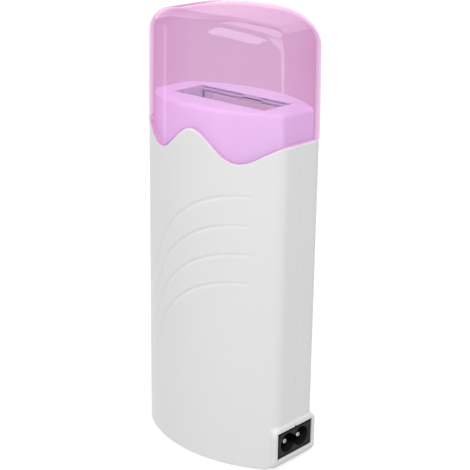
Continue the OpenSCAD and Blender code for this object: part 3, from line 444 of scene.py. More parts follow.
class Shell(Skin):
    """One half of the casing. Its columns run along the half outline, its rows upwards."""

    def __init__(self, front):
        super().__init__()
        self.front = front
        self.mirror = np.array([1, 1 if front else -1, 1])
        self.sizes = (*body_half(RIM_Z / 2 + 1), SIDE_EDGE, BODY_R)
        self.total = sum(stretches(*self.sizes))
        self.s, self.z_low = self.spacing()
        self.t = t_of_s(self.s, *self.sizes)
        self.low, self.high = nearest(self.z_low, HOLE_LOW), nearest(self.z_low, HOLE_HIGH)
        self.side = nearest(self.s, HOLE_S)
        self.outer_group = self.new_group()
        self.outer, patches = self.outer_skin()
        for patch in patches:
            self.screw_hole(*patch)
        self.rim = self.rim_rows()
        self.inner, inner_hole = self.inner_skin()
        self.window = self.inlet_window(inner_hole)
        self.seam_low = self.underside()
        self.parting_face(inner_hole)

    def spacing(self):
        """Places of the columns along the outline, and heights of the rows below the wave."""
        total = self.total
        s = [(0, 1), (SEAM_W, 0.06), (0.6, 0.35), (HOLE_S, 1.5), (15.0, 0.35)]
        z = [(BASE_Z, 1), (1.1, 0.12), (2.2, 0.28), (3.8, 0.4), (HOLE_LOW, 1), (HOLE_HIGH, 1.5), (18.4, 0.5),
             (20.6, 0.2)]
        if self.front:
            s += [(22, 0.8), (78, 0.42), (88, 0.42)]
            z += [(30, 2.0), (WAVE_FROM, 0.45)]
        else:
            s += [(total - 13, 1.0)]
            z += [(24, 1.2), (32, 1.0), (108, 3.0), (116, 1.0), (WAVE_FROM, 1.5)]
        s += [(total - 8.5, 0.6), (total - SEAM_W, 1.5), (total, 0.06)]
        return spaced(s), spaced(z)

    def place(self, s, z):
        """Points of the outer skin, with the parting line's groove and the rim's rounded edge."""
        x, y = skin_point(np.interp(s, self.s, self.t), s, z, self.front)
        from_seam = np.minimum(s, self.total - s)
        x = x - np.sign(x) * SEAM_DEEP * np.clip(1 - from_seam / SEAM_W, 0, 1) ** 2
        over = RIM_ROUND - np.clip(wave(x) - LID_GAP - z, 0, RIM_ROUND)
        tuck = RIM_ROUND - np.sqrt(np.maximum(RIM_ROUND**2 - over**2, 0))
        outward = unit(np.stack([x, np.where(np.abs(y) > SIDE_Y, y + np.sign(y) * BOW_PAST, 0)], -1))
        x, y = x - outward[..., 0] * tuck, y - outward[..., 1] * tuck
        return np.stack([x, np.minimum(y, SEAM_Y), z], -1)

    def outer_skin(self):
        """The outer grid, open at the inlet's window and round the screw holes."""
        s, total = self.s, self.total
        edge_x = half_outline(self.t, *RIM_HALF, SIDE_EDGE, BODY_R)[0]
        up = np.linspace(0, 1, WAVE_ROWS + 1)[1:, None]
        z = np.vstack([np.repeat(self.z_low[:, None], len(s), 1),
                       WAVE_FROM + (wave(edge_x) - LID_GAP - WAVE_FROM) * up])
        # The parting line ends in a small notch above the window
        z[self.high, s < 0.3] += 0.4
        points = self.place(s, z)
        step = 0.02
        along = self.place(np.minimum(s + step, total), z) - self.place(np.maximum(s - step, 0), z)
        normals = unit(np.cross(self.place(s, z + step) - self.place(s, z - step), along))
        foot = z <= BASE_Z + 0.01
        normals[foot] = unit(normals[foot] * [1, 1, 0] + [0, 0, -1.0])
        ids = self.add(points * self.mirror, normals * self.mirror, self.outer_group)
        hole = np.zeros(z.shape, bool)
        hole[self.low:self.high, :self.side] = True
        patches = [] if self.front else self.screw_patches(points[..., 0])
        for _, _, low, high, first, last in patches:
            hole[low:high, first:last] = True
        self.grid(ids, self.outer_group, skip=hole)
        return ids, patches

    def screw_patches(self, x):
        """Place of each screw, with the rows and columns of the rectangle round it."""
        out = []
        half_x, half_z = BORE_PATCH
        for side in (1, -1):
            for z in SCREW_Z:
                low, high = nearest(self.z_low, z - half_z), nearest(self.z_low, z + half_z)
                cols = np.where(np.abs(x[low] * side - SCREW_X) < half_x)[0]
                out.append((side * SCREW_X, z, low, high, cols.min(), cols.max()))
        return out

    def screw_hole(self, x, z, low, high, first, last):
        """A filled patch with a counterbore in it, its seat and the screw's hole."""
        grid, n = self.outer, 40
        loop = [*grid[low, first:last + 1], *grid[low + 1:high + 1, last], *grid[high, first:last][::-1],
                *grid[low + 1:high, first][::-1]]
        rings = []
        for r, drop in ((BORE_R + 0.25, 0.0), (BORE_R + 0.07, 0.06), (BORE_R, 0.25)):
            ring = circle("Y", (x, 0, z), r, n)
            radius, past = arc(*body_half(ring[:, 2]), SIDE_EDGE)
            ring[:, 1] = np.sqrt(radius**2 - ring[:, 0] ** 2) - past - drop
            normals = unit(np.column_stack([ring[:, 0], ring[:, 1] + past, 0 * past])) if drop == 0 else None
            rings.append(self.add(ring, normals, self.outer_group))
        for y, r in ((SCREW_SEAT, BORE_R), (SCREW_SEAT, BORE_HOLE_R), (SCREW_SEAT - 1, BORE_HOLE_R)):
            rings.append(self.add(circle("Y", (x, y, z), r, n)))
        self.fill(loop, [rings[0]], (0, 2), self.outer_group)
        self.bands(rings, smooth=(0, 1))
        self.face(rings[-1])

    def rim_rows(self):
        """The wavy rim, with a lip on its inner edge."""
        rows = [self.outer[-1]]
        rim_z = self.all_points()[rows[0]][:, 2]
        for inward, drop in ((RIM_LIP, 0.0), (RIM_LIP, 1.2), (WALL, 1.6)):
            x, y = casing_inset(self.t, inward)
            rows.append(self.add(np.stack([x, y, rim_z - drop], -1) * self.mirror))
        self.bands(rows, closed=False)
        return rows

    def inner_skin(self):
        """The inner grid, and the rows and the column that bound its hole for the inlet."""
        total = self.total
        s = spaced([(0, 1), (8, 2.0), (13, 0.8), (total - 13, 2.0), (total - 8, 0.8), (total, 2.0)])
        t = t_of_s(s, *self.sizes)
        z = spaced([(FLOOR_Z, 1), (WINDOW_LOW, 3), (WINDOW_HIGH, 3), (INNER_TOP, 12)])
        x, y = casing_inset(t, WALL)
        points = np.stack(np.broadcast_arrays(x, y, z[:, None]), -1)
        ids = self.add(points * self.mirror)
        low, high = nearest(z, WINDOW_LOW), nearest(z, WINDOW_HIGH)
        side = nearest(t, t_of_s(INNER_HOLE_S, *self.sizes))
        hole = np.zeros(ids.shape, bool)
        hole[low:high, :side] = True
        group = self.new_group()
        self.grid(ids, group, skip=hole)
        self.bridge(self.rim[-1], ids[-1], group)
        return ids, (low, high, side)

    def inlet_window(self, inner_hole):
        """The window's bevel, its walls and the way to the inner skin."""
        edge = around(self.outer, self.low, self.high, self.side)
        points = self.all_points()[edge]
        points[:, 0] = PAD_X - BEVEL
        points[:, 2] = np.clip(points[:, 2], WINDOW_LOW, WINDOW_HIGH)
        points[:, 1] = np.clip(points[:, 1], -WINDOW_HW, WINDOW_HW)
        points[(points[:, 2] > INLET_Z) & (np.abs(points[:, 1]) < 0.3), 2] += 0.6
        mouth = self.add(points)
        points[:, 0] = WINDOW_BACK_X
        back = self.add(points)
        self.bands([edge, mouth, back], closed=False)
        self.bridge(back, around(self.inner, *inner_hole))
        return mouth, back

    def seam_line(self, row, z):
        """Points on the parting plane between a row's two ends."""
        (x0, x1), n = self.all_points()[[row[0], row[-1]], 0], 11
        return list(self.add([[x0 + (x1 - x0) * k / n, SEAM_Y * self.mirror[1], z] for k in range(1, n)]))

    def underside(self):
        """The underside with the feet's recesses, and the floor inside."""
        line = self.seam_line(self.outer[0], BASE_Z)
        mouths = []
        for x in (FOOT_X, -FOOT_X):
            mouth, roof = (self.add(circle("Z", (x, -FOOT_Y * self.mirror[1], z), RECESS_R, 32))
                           for z in (BASE_Z, RECESS_TOP))
            self.band(mouth, roof)
            self.face(roof)
            mouths.append(mouth)
        self.fill([*self.outer[0], *line[::-1]], mouths, (0, 1))
        floor_line = self.seam_line(self.inner[0], FLOOR_Z)
        self.fill([*self.inner[0], *floor_line[::-1]], [], (0, 1))
        return line, floor_line

    def parting_face(self, inner_hole):
        """Cut faces on the parting plane, below the window and round to the other side, and above it."""
        (mouth, back), (line, floor_line) = self.window, self.seam_low
        outer, inner, (low, high, _) = self.outer, self.inner, inner_hole
        self.bridge([back[0], mouth[0], *outer[:self.low + 1, 0][::-1], *line, *outer[:, -1],
                     *(row[-1] for row in self.rim[1:])],
                    [*inner[:low + 1, 0][::-1], *floor_line, *inner[:, -1]])
        self.bridge([back[-1], mouth[-1], *outer[self.high:, 0], *(row[0] for row in self.rim[1:])],
                    inner[high:, 0])


# ---------------- lid
LID_WALL, LID_FOOT_Z, LID_DRAFT, LID_RUN = 2.0, 138.0, 0.85, 50.0
LID_ARCH, LID_ARCH_X, LID_FILLET_Z = 4.7, 36.5, 181.0
LIP = 0.45


def lid_outline(t, inset, z, r):
    """Full outline inset from the lid's outer face, at one height or one for each of the half's points."""
    a, b = LID_A - LID_DRAFT * smooth((z - LID_FOOT_Z) / LID_RUN), LID_B
    return full_outline(*half_outline(t, a - inset, b - inset, edge_in(a, b, SIDE_EDGE, inset), r))


def lid_top(x, inset):
    """Height of the crowned top."""
    return LID_TOP - inset - LID_ARCH * (np.abs(x) / LID_ARCH_X) ** 3


def lid_rings(t, inset, fillet):
    """Rings of one face of the lid, from just above the rounded lip to near the top's middle."""
    r = max(CORNER_R - inset, 0.5)
    foot = lid_outline(t, inset, LID_FOOT_Z, r)
    low = wave(foot[0]) + LIP
    rings = []
    for v in np.linspace(0, 1, 22):
        x, y = foot
        # The outline depends on the height, and the fillet's foot on the outline: two passes find both
        for _ in range(2):
            z = low + (lid_top(x, inset) - fillet - low) * v
            x, y = lid_outline(t, inset, z[:len(t)][::-1], r)
        rings.append(np.stack([x, y, z], -1))
    for w in np.linspace(0, math.pi / 2, 19)[1:]:
        drawn = fillet * (1 - math.cos(w))
        x, y = lid_outline(t, inset + drawn, LID_FILLET_Z, max(CORNER_R - inset - 0.35 * drawn, 1.0))
        rings.append(np.stack([x, y, lid_top(x, inset) - fillet * (1 - math.sin(w))], -1))
    for f in np.linspace(1, 0, 21)[1:-1]:
        rings.append(np.stack([x * f, y * f, lid_top(x * f, inset)], -1))
    return np.array(rings)


def lid_skin():
    skin = Skin()
    sizes = (LID_A, LID_B, SIDE_EDGE, CORNER_R)
    total = sum(stretches(*sizes))
    s = spaced([(0, 1), (8.0, 1.6), (13.2, 0.4), (total - 13.2, 0.8), (total - 8.0, 0.4), (total, 1.6)])
    t = t_of_s(s, *sizes)
    rims = []
    for inset, fillet in ((0.0, 7.0), (LID_WALL, 5.0)):
        group, points = skin.new_group(), lid_rings(t, inset, fillet)
        ids = skin.add(points, ring_normals(points), group)
        skin.grid(ids, group, closed=True)
        tip = skin.add([[0, 0, lid_top(0.0, inset)]], [[0, 0, 1.0]], group)[0]
        for j in range(ids.shape[1]):
            skin.face([ids[-1, j], ids[-1, (j + 1) % ids.shape[1]], tip], group)
        rims.append(ids[0])
    # Rounded lower lip between the two faces
    outer, inner = (skin.all_points()[ids] for ids in rims)
    rows = [rims[0]]
    for w in np.linspace(0, math.pi, 8)[1:-1]:
        points = outer + (inner - outer) * (1 - math.cos(w)) / 2
        points[:, 2] -= LIP * math.sin(w)
        rows.append(skin.add(points))
    rows.append(rims[1])
    group = skin.new_group()
    for above, below in zip(rows[:-1], rows[1:]):
        skin.band(below, above, group)
    return skin


def paint_lip_shade(obj):
    """Point attribute for painted shade: 1 on the rounded lower edge, whose colour is painted darker than the
    wall to stand for the dark line that refraction gives there, and 0 above it.
    """
    points = np.zeros(len(obj.data.vertices) * 3)
    obj.data.vertices.foreach_get("co", points)
    x, _, z = points.reshape(-1, 3).T / MM
    mark = obj.data.attributes.new("lip", "FLOAT", "POINT")
    mark.data.foreach_set("value", np.clip((wave(x) + LIP - z) / 0.15, 0, 1))


# ---------------- neck frame
NECK_R, NECK_WALL, NECK_PLAY, NECK_FOOT = 2.8, 1.8, 0.2, 124.0
PLATE_UNDER, PLATE_ROUND = PLATE_Z - 1.8, 1.9
SLOT_X, SLOT_Y = 24.55, 8.8
# The slot's shadow gap ends here, is cut by a tab, and shows as a notch in the left end; it opens over EASE
GAP_X, TAB, NOTCH, EASE = 23.85, (-2.1, 8.1), (-3.6, -2.6), 0.05
# The slot's wall downwards: depth under the plate, how far out it lies, and how much further in the gap
SLOT_WALL = ((0, 0.3, 0), (0.09, 0.09, 0), (0.3, 0, 0), (0.68, 0, 0), (0.7, 0, 0.8), (1.18, 0, 0.8),
             (1.22, 0, 0), (2.14, 0, 0), (2.2, 0.08, 0), (2.21, 0.08, 0.6), (2.9, 0.08, 0.6), (2.9, 1.6, 0),
             (1.8, 1.6, 0))
GUIDE_FOOT, GUIDE_T = 136.7, 1.4
WING_X, WING_Y, WING_TOP = 19.2, (9.3, 10.2), 147.8
BOSS_AT, BOSS_R, BOSS_FOOT = (16.0, 12.7), 2.6, 147.5
EAR_X, EAR_HALF_T, EAR_HOLE_R = 28.3, 1.0, 1.55


def slot_line():
    """The slot's edge from its rear right corner over the left: x, y, the way out, and 1 in the gap."""
    near = EASE / 2
    gap_from = [(-SLOT_X, 1), (-GAP_X - EASE, 1), (-GAP_X, 1)]
    gap_to = [(GAP_X, 4), (GAP_X + EASE, 1), (SLOT_X, 1)]
    tab = [(TAB[0] - EASE, 4), (TAB[0], 1), (TAB[1], 2), (TAB[1] + EASE, 1)]
    notch = [(NOTCH[0] - EASE, 3), (NOTCH[0], 1), (NOTCH[1], 1), (NOTCH[1] + EASE, 1)]
    rear, front = spaced(gap_from + tab + gap_to)[::-1], spaced(gap_from + gap_to)
    left = spaced([(-SLOT_Y, 1), *notch, (SLOT_Y, 3)])[-2:0:-1]
    right = spaced([(-SLOT_Y, 1), (SLOT_Y, 3)])[1:-1]
    line = [(x, SLOT_Y, 0, 1, abs(x) < GAP_X + near and not TAB[0] - near < x < TAB[1] + near) for x in rear]
    line += [(-SLOT_X, y, -1, 0, NOTCH[0] - near < y < NOTCH[1] + near) for y in left]
    line += [(x, -SLOT_Y, 0, -1, abs(x) < GAP_X + near) for x in front]
    line += [(SLOT_X, y, 1, 0, False) for y in right]
    return np.array(line, float)


def slot_wall(skin):
    """The slot's edge: a thin lip, a shadow gap that the tab interrupts, and the rim under it."""
    line = slot_line()
    corner_point = (np.abs(line[:, 0]) == SLOT_X) & (np.abs(line[:, 1]) == SLOT_Y)
    way = np.where(corner_point[:, None], np.sign(line[:, :2]), line[:, 2:4])
    rows = []
    for depth, out, gap in SLOT_WALL:
        at = line[:, :2] + way * (out + gap * line[:, 4:5])
        rows.append(skin.add(np.column_stack([at, np.full(len(at), PLATE_Z - depth)])))
    skin.bands(rows, smooth=(0, 1))
    return rows[0], rows[-1]


def ear(skin, side):
    """A lug of the neck with the hole for an upper body screw."""
    (x0, x1), (z0, z1) = (side * EAR_X, side * NECK_A), (EAR_FOOT, NECK_FOOT + 1.8)
    box, hole = [], []
    for y in (-EAR_HALF_T, EAR_HALF_T):
        box.append(skin.add([(x0, y, z0), (x1, y, z0), (x1, y, z1), (x0, y, z1)]))
        hole.append(skin.add(circle("Y", (side * SCREW_X, y, SCREW_Z[1]), EAR_HOLE_R, 32)))
        skin.fill(box[-1], [hole[-1]], (0, 2))
    skin.walls(*box)
    skin.band(*hole)


def neck_skin():
    skin = Skin()
    sizes = (NECK_A, NECK_B, edge_in(HALF_W, HALF_D, SIDE_EDGE, WALL + NECK_PLAY), NECK_R)
    total, flat = sum(stretches(*sizes)), stretches(*sizes)[0]
    t = t_of_s(spaced([(0, 1), (flat - 0.6, 1.6), (flat + 3.4, 0.4), (total - flat - 3.4, 1.3),
                       (total - flat + 0.6, 0.4), (total, 1.6)]), *sizes)

    def ring(inset, z):
        x, y = full_outline(*half_outline(t, NECK_A - inset, NECK_B - inset, edge_in(*sizes[:3], inset),
                                          max(NECK_R - inset, 0.6)))
        return np.column_stack([x, y, np.full(len(x), z)])

    bend = PLATE_Z - PLATE_ROUND
    rows = [ring(0.25 * (1 - smooth((z - NECK_FOOT) / 3)), z)
            for z in (NECK_FOOT, 125.0, 127.0, 133.0, 140.0, 146.0, bend)]
    rows += [ring(PLATE_ROUND * (1 - math.cos(w)), bend + PLATE_ROUND * math.sin(w))
             for w in np.linspace(0, math.pi / 2, 9)[1:]]
    points, group = np.array(rows), skin.new_group()
    normals = ring_normals(points)
    normals[-1] = [0, 0, 1]
    ids = skin.add(points, normals, group)
    skin.grid(ids, group, closed=True)
    mouth, under = slot_wall(skin)
    skin.fill(ids[-1], [mouth], (0, 1), group)
    inner_top, inner_low = skin.add(ring(NECK_WALL, PLATE_UNDER)), skin.add(ring(NECK_WALL, NECK_FOOT))
    skin.fill(inner_top, [under], (0, 1))
    skin.band(inner_top, inner_low)
    skin.band(inner_low, ids[0])
    # Forms that hang under the plate and sink a little into it, or into their neighbour
    sunk = PLATE_UNDER + 0.1
    boss = [(BOSS_FOOT, 0), (BOSS_FOOT, BOSS_R - 0.2), (BOSS_FOOT + 0.2, BOSS_R), (sunk, BOSS_R), (sunk, 0)]
    for sx in (-1, 1):
        skin.block((sx * (SLOT_X + 0.02), -SLOT_Y, GUIDE_FOOT),
                   (sx * (SLOT_X + GUIDE_T), SLOT_Y, PLATE_UNDER - 0.1))
        for sy in (-1, 1):
            skin.lathe((sx * BOSS_AT[0], sy * BOSS_AT[1], 0), "Z", boss, 32)
            skin.block((sx * WING_X, sy * WING_Y[0], GUIDE_FOOT + 0.1),
                       (sx * (SLOT_X + 0.1), sy * WING_Y[1], WING_TOP))
        ear(skin, sx)
    skin.block((TAB[0], SLOT_Y, PLATE_Z - SLOT_WALL[-2][0]), (TAB[1], SLOT_Y + 2.0, sunk))
    return skin


# ---------------- inlet, pins, screws and feet
INLET_HALF = (10.75, 5.75)
FLANGE_X = (33.5, 31.9)
RECESS_END_R, RECESS_WAIST, RECESS_FLOOR = 4.2, 2.3, 28.0
PIN_R, PIN_ROOT_R = 1.2, 1.4
HEAD_R, SHANK_R = 2.5, 1.3


def rect_ring(half_w, half_h, r):
    """Points of a rounded rectangle, anticlockwise."""
    out = []
    for cx, cy, first in ((half_w - r, half_h - r, 0), (-half_w + r, half_h - r, 90),
                          (-half_w + r, -half_h + r, 180), (half_w - r, -half_h + r, 270)):
        for w in np.radians(np.linspace(first, first + 90, 6)):
            out.append((cx + r * math.cos(w), cy + r * math.sin(w)))
    return np.array(out)


def eight(grow):
    """The recess's outline: two round ends and a narrower waist."""
    r = RECESS_END_R + grow
    a0 = math.asin((RECESS_WAIST + grow) / r)
    right = [(PIN_Y + r * math.cos(a), r * math.sin(a)) for a in np.linspace(-math.pi + a0, math.pi - a0, 41)]
    return np.array(right + [(-x, -y) for x, y in right])


def inlet_skin():
    skin = Skin()

    def ring(x, outline):
        return skin.add(np.column_stack([np.full(len(outline), x), outline[:, 0], outline[:, 1] + INLET_Z]))

    # Face, the groove round it, its rim, the flange and the body behind: place, what is added to the half
    # width and half height, and the corner's radius
    groove_x, rim_x = INLET_FACE - 0.7, INLET_FACE - 0.2
    flange_x, flange_back_x = FLANGE_X
    rings = [ring(x, rect_ring(INLET_HALF[0] + wide, INLET_HALF[1] + high, r)) for x, wide, high, r in (
        (INLET_FACE, -0.7, -0.7, 0.3), (groove_x, -0.63, -0.63, 0.3), (groove_x, -0.33, -0.33, 0.4),
        (rim_x, -0.25, -0.25, 0.4), (rim_x, 0, 0, 0.5), (flange_x, 0, 0, 0.5), (flange_x, 1.2, 0.6, 0.5),
        (flange_back_x, 1.2, 0.6, 0.5), (flange_back_x, -0.5, -0.5, 0.5), (INLET_BACK, -0.5, -0.5, 0.5))]
    skin.bands(rings)
    skin.face(rings[-1])
    loops = [ring(x, eight(grow)) for x, grow in (
        (INLET_FACE, 0.22), (INLET_FACE - 0.08, 0.06), (INLET_FACE - 0.25, 0.0), (RECESS_FLOOR, 0.0))]
    skin.fill(rings[0], [loops[0]], (1, 2))
    skin.bands(loops, smooth=(0, 1))
    skin.fill(loops[-1], [], (1, 2))
    return skin


def pin_skin(side):
    """A contact pin with a dimpled round tip, a root and a flat tag."""
    skin = Skin()
    root = [(INLET_BACK, 0), (INLET_BACK, PIN_ROOT_R), (RECESS_FLOOR, PIN_ROOT_R), (RECESS_FLOOR, PIN_R)]
    tip = [(PIN_TIP - back, r) for back, r in ((0.9, PIN_R), (0.5, 1.14), (0.2, 1.0), (0.05, 0.82), (0, 0.66),
                                               (0.1, 0.56), (1.0, 0.5), (1.0, 0))]
    y = side * PIN_Y
    skin.lathe((0, y, INLET_Z), "X", root + tip, 40, smooth_from=len(root) - 1)
    skin.block((PIN_BACK, y - 0.4, INLET_Z - 2.0), (INLET_BACK + 0.1, y + 0.4, INLET_Z + 2.0))
    return skin


def screw(skin, x, z):
    """A body screw with a rounded head and a cross recess."""
    profile = ((-8.5, 0.5), (-7.4, SHANK_R), (SCREW_SEAT - 0.1, SHANK_R), (SCREW_SEAT, HEAD_R), (9.1, HEAD_R),
               (9.6, 2.3), (9.9, 1.95))
    rings = [skin.add(circle("Y", (x, y, z), r, 32)) for y, r in profile]
    skin.face(rings[0])
    skin.bands(rings, smooth=(4, 5))
    arm, half = 1.35, 0.32
    corner_points = [(arm, -half), (arm, half), (half, half), (half, arm), (-half, arm), (-half, half)]
    cross = np.array(corner_points + [(-u, -v) for u, v in corner_points])
    mouth, floor = (skin.add(np.column_stack([x + cross[:, 0] * f, 0 * cross[:, 0] + y, z + cross[:, 1] * f]))
                    for y, f in ((9.9, 1.0), (8.7, 0.7)))
    skin.fill(rings[-1], [mouth], (0, 2))
    skin.walls(mouth, floor)
    skin.fill(floor, [], (0, 2))


def screws_skin():
    skin = Skin()
    for x in (-SCREW_X, SCREW_X):
        for z in SCREW_Z:
            screw(skin, x, z)
    return skin


def feet_skin():
    skin = Skin()
    rounded = [(0, FOOT_R - 0.45), (0.13, FOOT_R - 0.15), (0.45, FOOT_R)]
    foot = [(0, 0), *rounded, (FOOT_TOP, FOOT_R), (FOOT_TOP, 0)]
    for x in (-FOOT_X, FOOT_X):
        for y in (-FOOT_Y, FOOT_Y):
            skin.lathe((x, y, 0), "Z", foot, 48)
    return skin


# ---------------- materials
def new_material(name):
    """A material with its node tree and its Principled shader."""
    material = bpy.data.materials.new(name)
    material.use_nodes = True
    return material, material.node_tree, material.node_tree.nodes["Principled BSDF"]


def add_node(tree, kind, **values):
    """A shader node with its inputs set. In their names an underscore stands for a space."""
    node = tree.nodes.new("ShaderNode" + kind)
    for name, value in values.items():
        node.inputs[name.replace("_", " ")].default_value = value
    return node


def link(source, target):
    source.id_data.links.new(source, target)


def between(tree, source, low, high, target):
    """A socket goes from low to high as its source goes from 0 to 1."""
    level = add_node(tree, "MapRange", To_Min=low, To_Max=high)
    link(source, level.inputs["Value"])
    link(level.outputs["Result"], target)


def relief(tree, shader, noise, strength, depth):
    """The shader's normal follows a noise."""
    bump = add_node(tree, "Bump", Strength=strength, Distance=depth)
    link(noise.outputs["Fac"], bump.inputs["Height"])
    link(bump.outputs["Normal"], shader.inputs["Normal"])


def two_colours(tree, shader, factor, first, second):
    """The shader's base colour lies between two colours."""
    mix = tree.nodes.new("ShaderNodeMix")
    mix.data_type = "RGBA"
    mix.inputs["A"].default_value = (*first, 1)
    mix.inputs["B"].default_value = (*second, 1)
    link(factor.outputs["Fac"], mix.inputs["Factor"])
    link(mix.outputs["Result"], shader.inputs["Base Color"])


def plastic(name, colour, rough, grain=900.0, bump=0.02, gloss=0.5):
    """Moulded plastic with fine grain and a slow drift in its roughness and colour."""
    material, tree, shader = new_material(name)
    place = add_node(tree, "TexCoord")
    slow = add_node(tree, "TexNoise", Scale=35.0, Detail=3.0)
    fine = add_node(tree, "TexNoise", Scale=grain, Detail=2.0)
    for noise in (slow, fine):
        link(place.outputs["Object"], noise.inputs["Vector"])
    between(tree, slow.outputs["Fac"], rough - 0.04, rough + 0.04, shader.inputs["Roughness"])
    two_colours(tree, shader, slow, colour, [c * 0.97 for c in colour])
    relief(tree, shader, fine, bump, 0.2 * MM)
    shader.inputs["Specular IOR Level"].default_value = gloss
    return material


def metal(name, colour, rough, brushed=True, metallic=1.0):
    """Metal with drifting roughness and a faint grain, drawn out along z where it is brushed."""
    material, tree, shader = new_material(name)
    shader.inputs["Metallic"].default_value = metallic
    shader.inputs["Base Color"].default_value = (*colour, 1)
    place = add_node(tree, "TexCoord")
    scale = add_node(tree, "Mapping", Scale=(60, 60, 900) if brushed else (300, 300, 300))
    noise = add_node(tree, "TexNoise", Scale=3.0)
    link(place.outputs["Object"], scale.inputs["Vector"])
    link(scale.outputs["Vector"], noise.inputs["Vector"])
    between(tree, noise.outputs["Fac"], rough - 0.06, rough + 0.08, shader.inputs["Roughness"])
    relief(tree, shader, noise, 0.05, 0.1 * MM)
    return material


def surface_mix(tree, factor, first, second):
    """The material's surface: one shader where the factor is 0, and another where it is 1."""
    mix = add_node(tree, "MixShader")
    for source, socket in zip((factor, first.outputs[0], second.outputs[0]), mix.inputs):
        link(source, socket)
    link(mix.outputs[0], tree.nodes["Material Output"].inputs["Surface"])


def lid_material():
    """Clear pink plastic: tinted at its faces, a little more through its depth, with painted shade along its
    lower edge, and lamps shine through it.
    Only faces met from their outer side mirror the panels, so that each highlight shows once."""
    material, tree, shader = new_material("lid_clear_pink")
    lip = tree.nodes.new("ShaderNodeAttribute")
    lip.attribute_name = "lip"
    # Painted shade: where the lip attribute is 1, on the rounded lower edge, the colour turns darker
    two_colours(tree, shader, lip, (0.832, 0.692, 0.812), (0.62, 0.46, 0.59))
    for name, value in (("Roughness", 0.03), ("IOR", 1.0), ("Transmission Weight", 1.0), ("Coat IOR", 2.0),
                        ("Coat Roughness", 0.01)):
        shader.inputs[name].default_value = value
    side = add_node(tree, "NewGeometry")
    between(tree, side.outputs["Backfacing"], 0.14, 0.0, shader.inputs["Coat Weight"])
    clear = add_node(tree, "BsdfTransparent", Color=(0.97, 0.92, 0.96, 1))
    surface_mix(tree, add_node(tree, "LightPath").outputs["Is Shadow Ray"], shader, clear)
    depth = add_node(tree, "VolumeAbsorption", Color=(0.727, 0.045, 0.576, 1), Density=57.0)
    link(depth.outputs[0], tree.nodes["Material Output"].inputs["Volume"])
    return material


WHITE = plastic("white_plastic", (0.78, 0.78, 0.785), 0.36, bump=0.03, gloss=0.4)
NECK = plastic("neck_plastic", (0.67, 0.71, 0.78), 0.34)
BLACK = plastic("black_plastic", (0.014, 0.014, 0.015), 0.36, bump=0.05, gloss=0.10)
NYLON = plastic("nylon", (0.62, 0.60, 0.54), 0.5, bump=0.05)
RUBBER = plastic("rubber", (0.05, 0.05, 0.05), 0.7, bump=0.15)
CERAMIC = plastic("ceramic", (0.10, 0.09, 0.085), 0.6, bump=0.3)
FILM = plastic("film", (0.55, 0.24, 0.03), 0.3)
BRAID = plastic("braid", (0.82, 0.80, 0.75), 0.8, grain=2500.0, bump=0.4)
RED = plastic("wire_red", (0.42, 0.03, 0.02), 0.45)
BLUE = plastic("wire_blue", (0.02, 0.07, 0.36), 0.45)
ALU = metal("aluminium", (0.84, 0.85, 0.86), 0.5)
SLEEVE = metal("sleeve_aluminium", (0.92, 0.90, 0.92), 0.5, metallic=0.45)
STEEL = metal("steel", (0.55, 0.56, 0.57), 0.30, brushed=False)
NICKEL = metal("pin_metal", (0.60, 0.59, 0.57), 0.2, brushed=False)
BRASS = metal("brass", (0.74, 0.54, 0.22), 0.30)
LID = lid_material()

for node_name, node_material in {
    "body_screws": STEEL, "rubber_feet": RUBBER, "heating_sleeve": SLEEVE, "sleeve_screws": STEEL,
    "sleeve_seat": NYLON, "heater_housing": ALU, "insulating_film": FILM, "ptc_tablets": CERAMIC,
    "inner_electrode": BRASS, "outer_electrode": BRASS, "heater_clamp": STEEL, "clamp_rivets": ALU,
    "thermal_fuse": ALU, "fuse_sleeving": BRAID, "wire_crimps": BRASS, "inlet_body": BLACK,
    "front_pin": NICKEL, "rear_pin": NICKEL, "supply_wire": RED, "fuse_wire": RED, "return_wire": BLUE,
}.items():
    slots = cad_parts[node_name].data.materials
    slots.clear()
    slots.append(node_material)

Shell(True).build("front_skin", WHITE, "casing", "white_plastic", "front_shell")
Shell(False).build("back_skin", WHITE, "casing", "white_plastic", "back_shell")
lid_piece = lid_skin().build("lid_skin", LID, "lid", "lid_plastic", "lid")
# Marks the lid's lower edge for its painted shade
paint_lip_shade(lid_piece)
neck_skin().build("neck_skin", NECK, "casing", "neck_plastic", "neck_frame")
inlet_skin().build("inlet_skin", BLACK, "casing", "black_plastic", "inlet_body")
pin_skin(-1).build("front_pin_skin", NICKEL, "casing", "pin_metal", "front_pin")
pin_skin(1).build("rear_pin_skin", NICKEL, "casing", "pin_metal", "rear_pin")
screws_skin().build("screws_skin", STEEL, "casing", "steel", "body_screws")
feet_skin().build("feet_skin", RUBBER, "casing", "rubber", "rubber_feet")

# ---------------- light and floor
FLOOR_HALF, FLOOR_BOUNCE, FLOOR_SEEN, FLOOR_GLOW = 4.0, 0.60, 0.4, 0.75
WORLD_LIGHT = 0.66
HEATER_MIDDLE, LID_MIDDLE = (0, 0, 0.1), Vector((0.02, -0.02, 0.17))
# Panels that the lid mirrors: centre, two edges, and how bright they look
PANELS = {
    "top_strip": ((0.102, -0.084, 1.28), (1.085, -0.279, -0.138), (0.22, -0.64, -0.06), 7.5),
    "front_strip": ((0.03, -1.07, 0.51), (0.979, -0.096, -0.323), (-0.06, -0.43, -0.88), 9.3),
    "corner_strip": ((0.52, -0.36, 0.468), (0.19, 0.266, 0), (0, 0, 0.844), 6.5),
    "left_band": ((-0.37, 0.035, 0.085), (0.05, 0.245, 0), (0, 0, 0.16), 0.8),
    "left_line": ((-0.36, -0.095, 0.085), (-0.005, 0.03, 0), (0, 0, 0.16), 3.2),
    "back_glow": ((-1.04, 1.1525, 1.1425), (2.52, 2.28, 0), (0.96, -1.065, 1.755), 4.5),
}


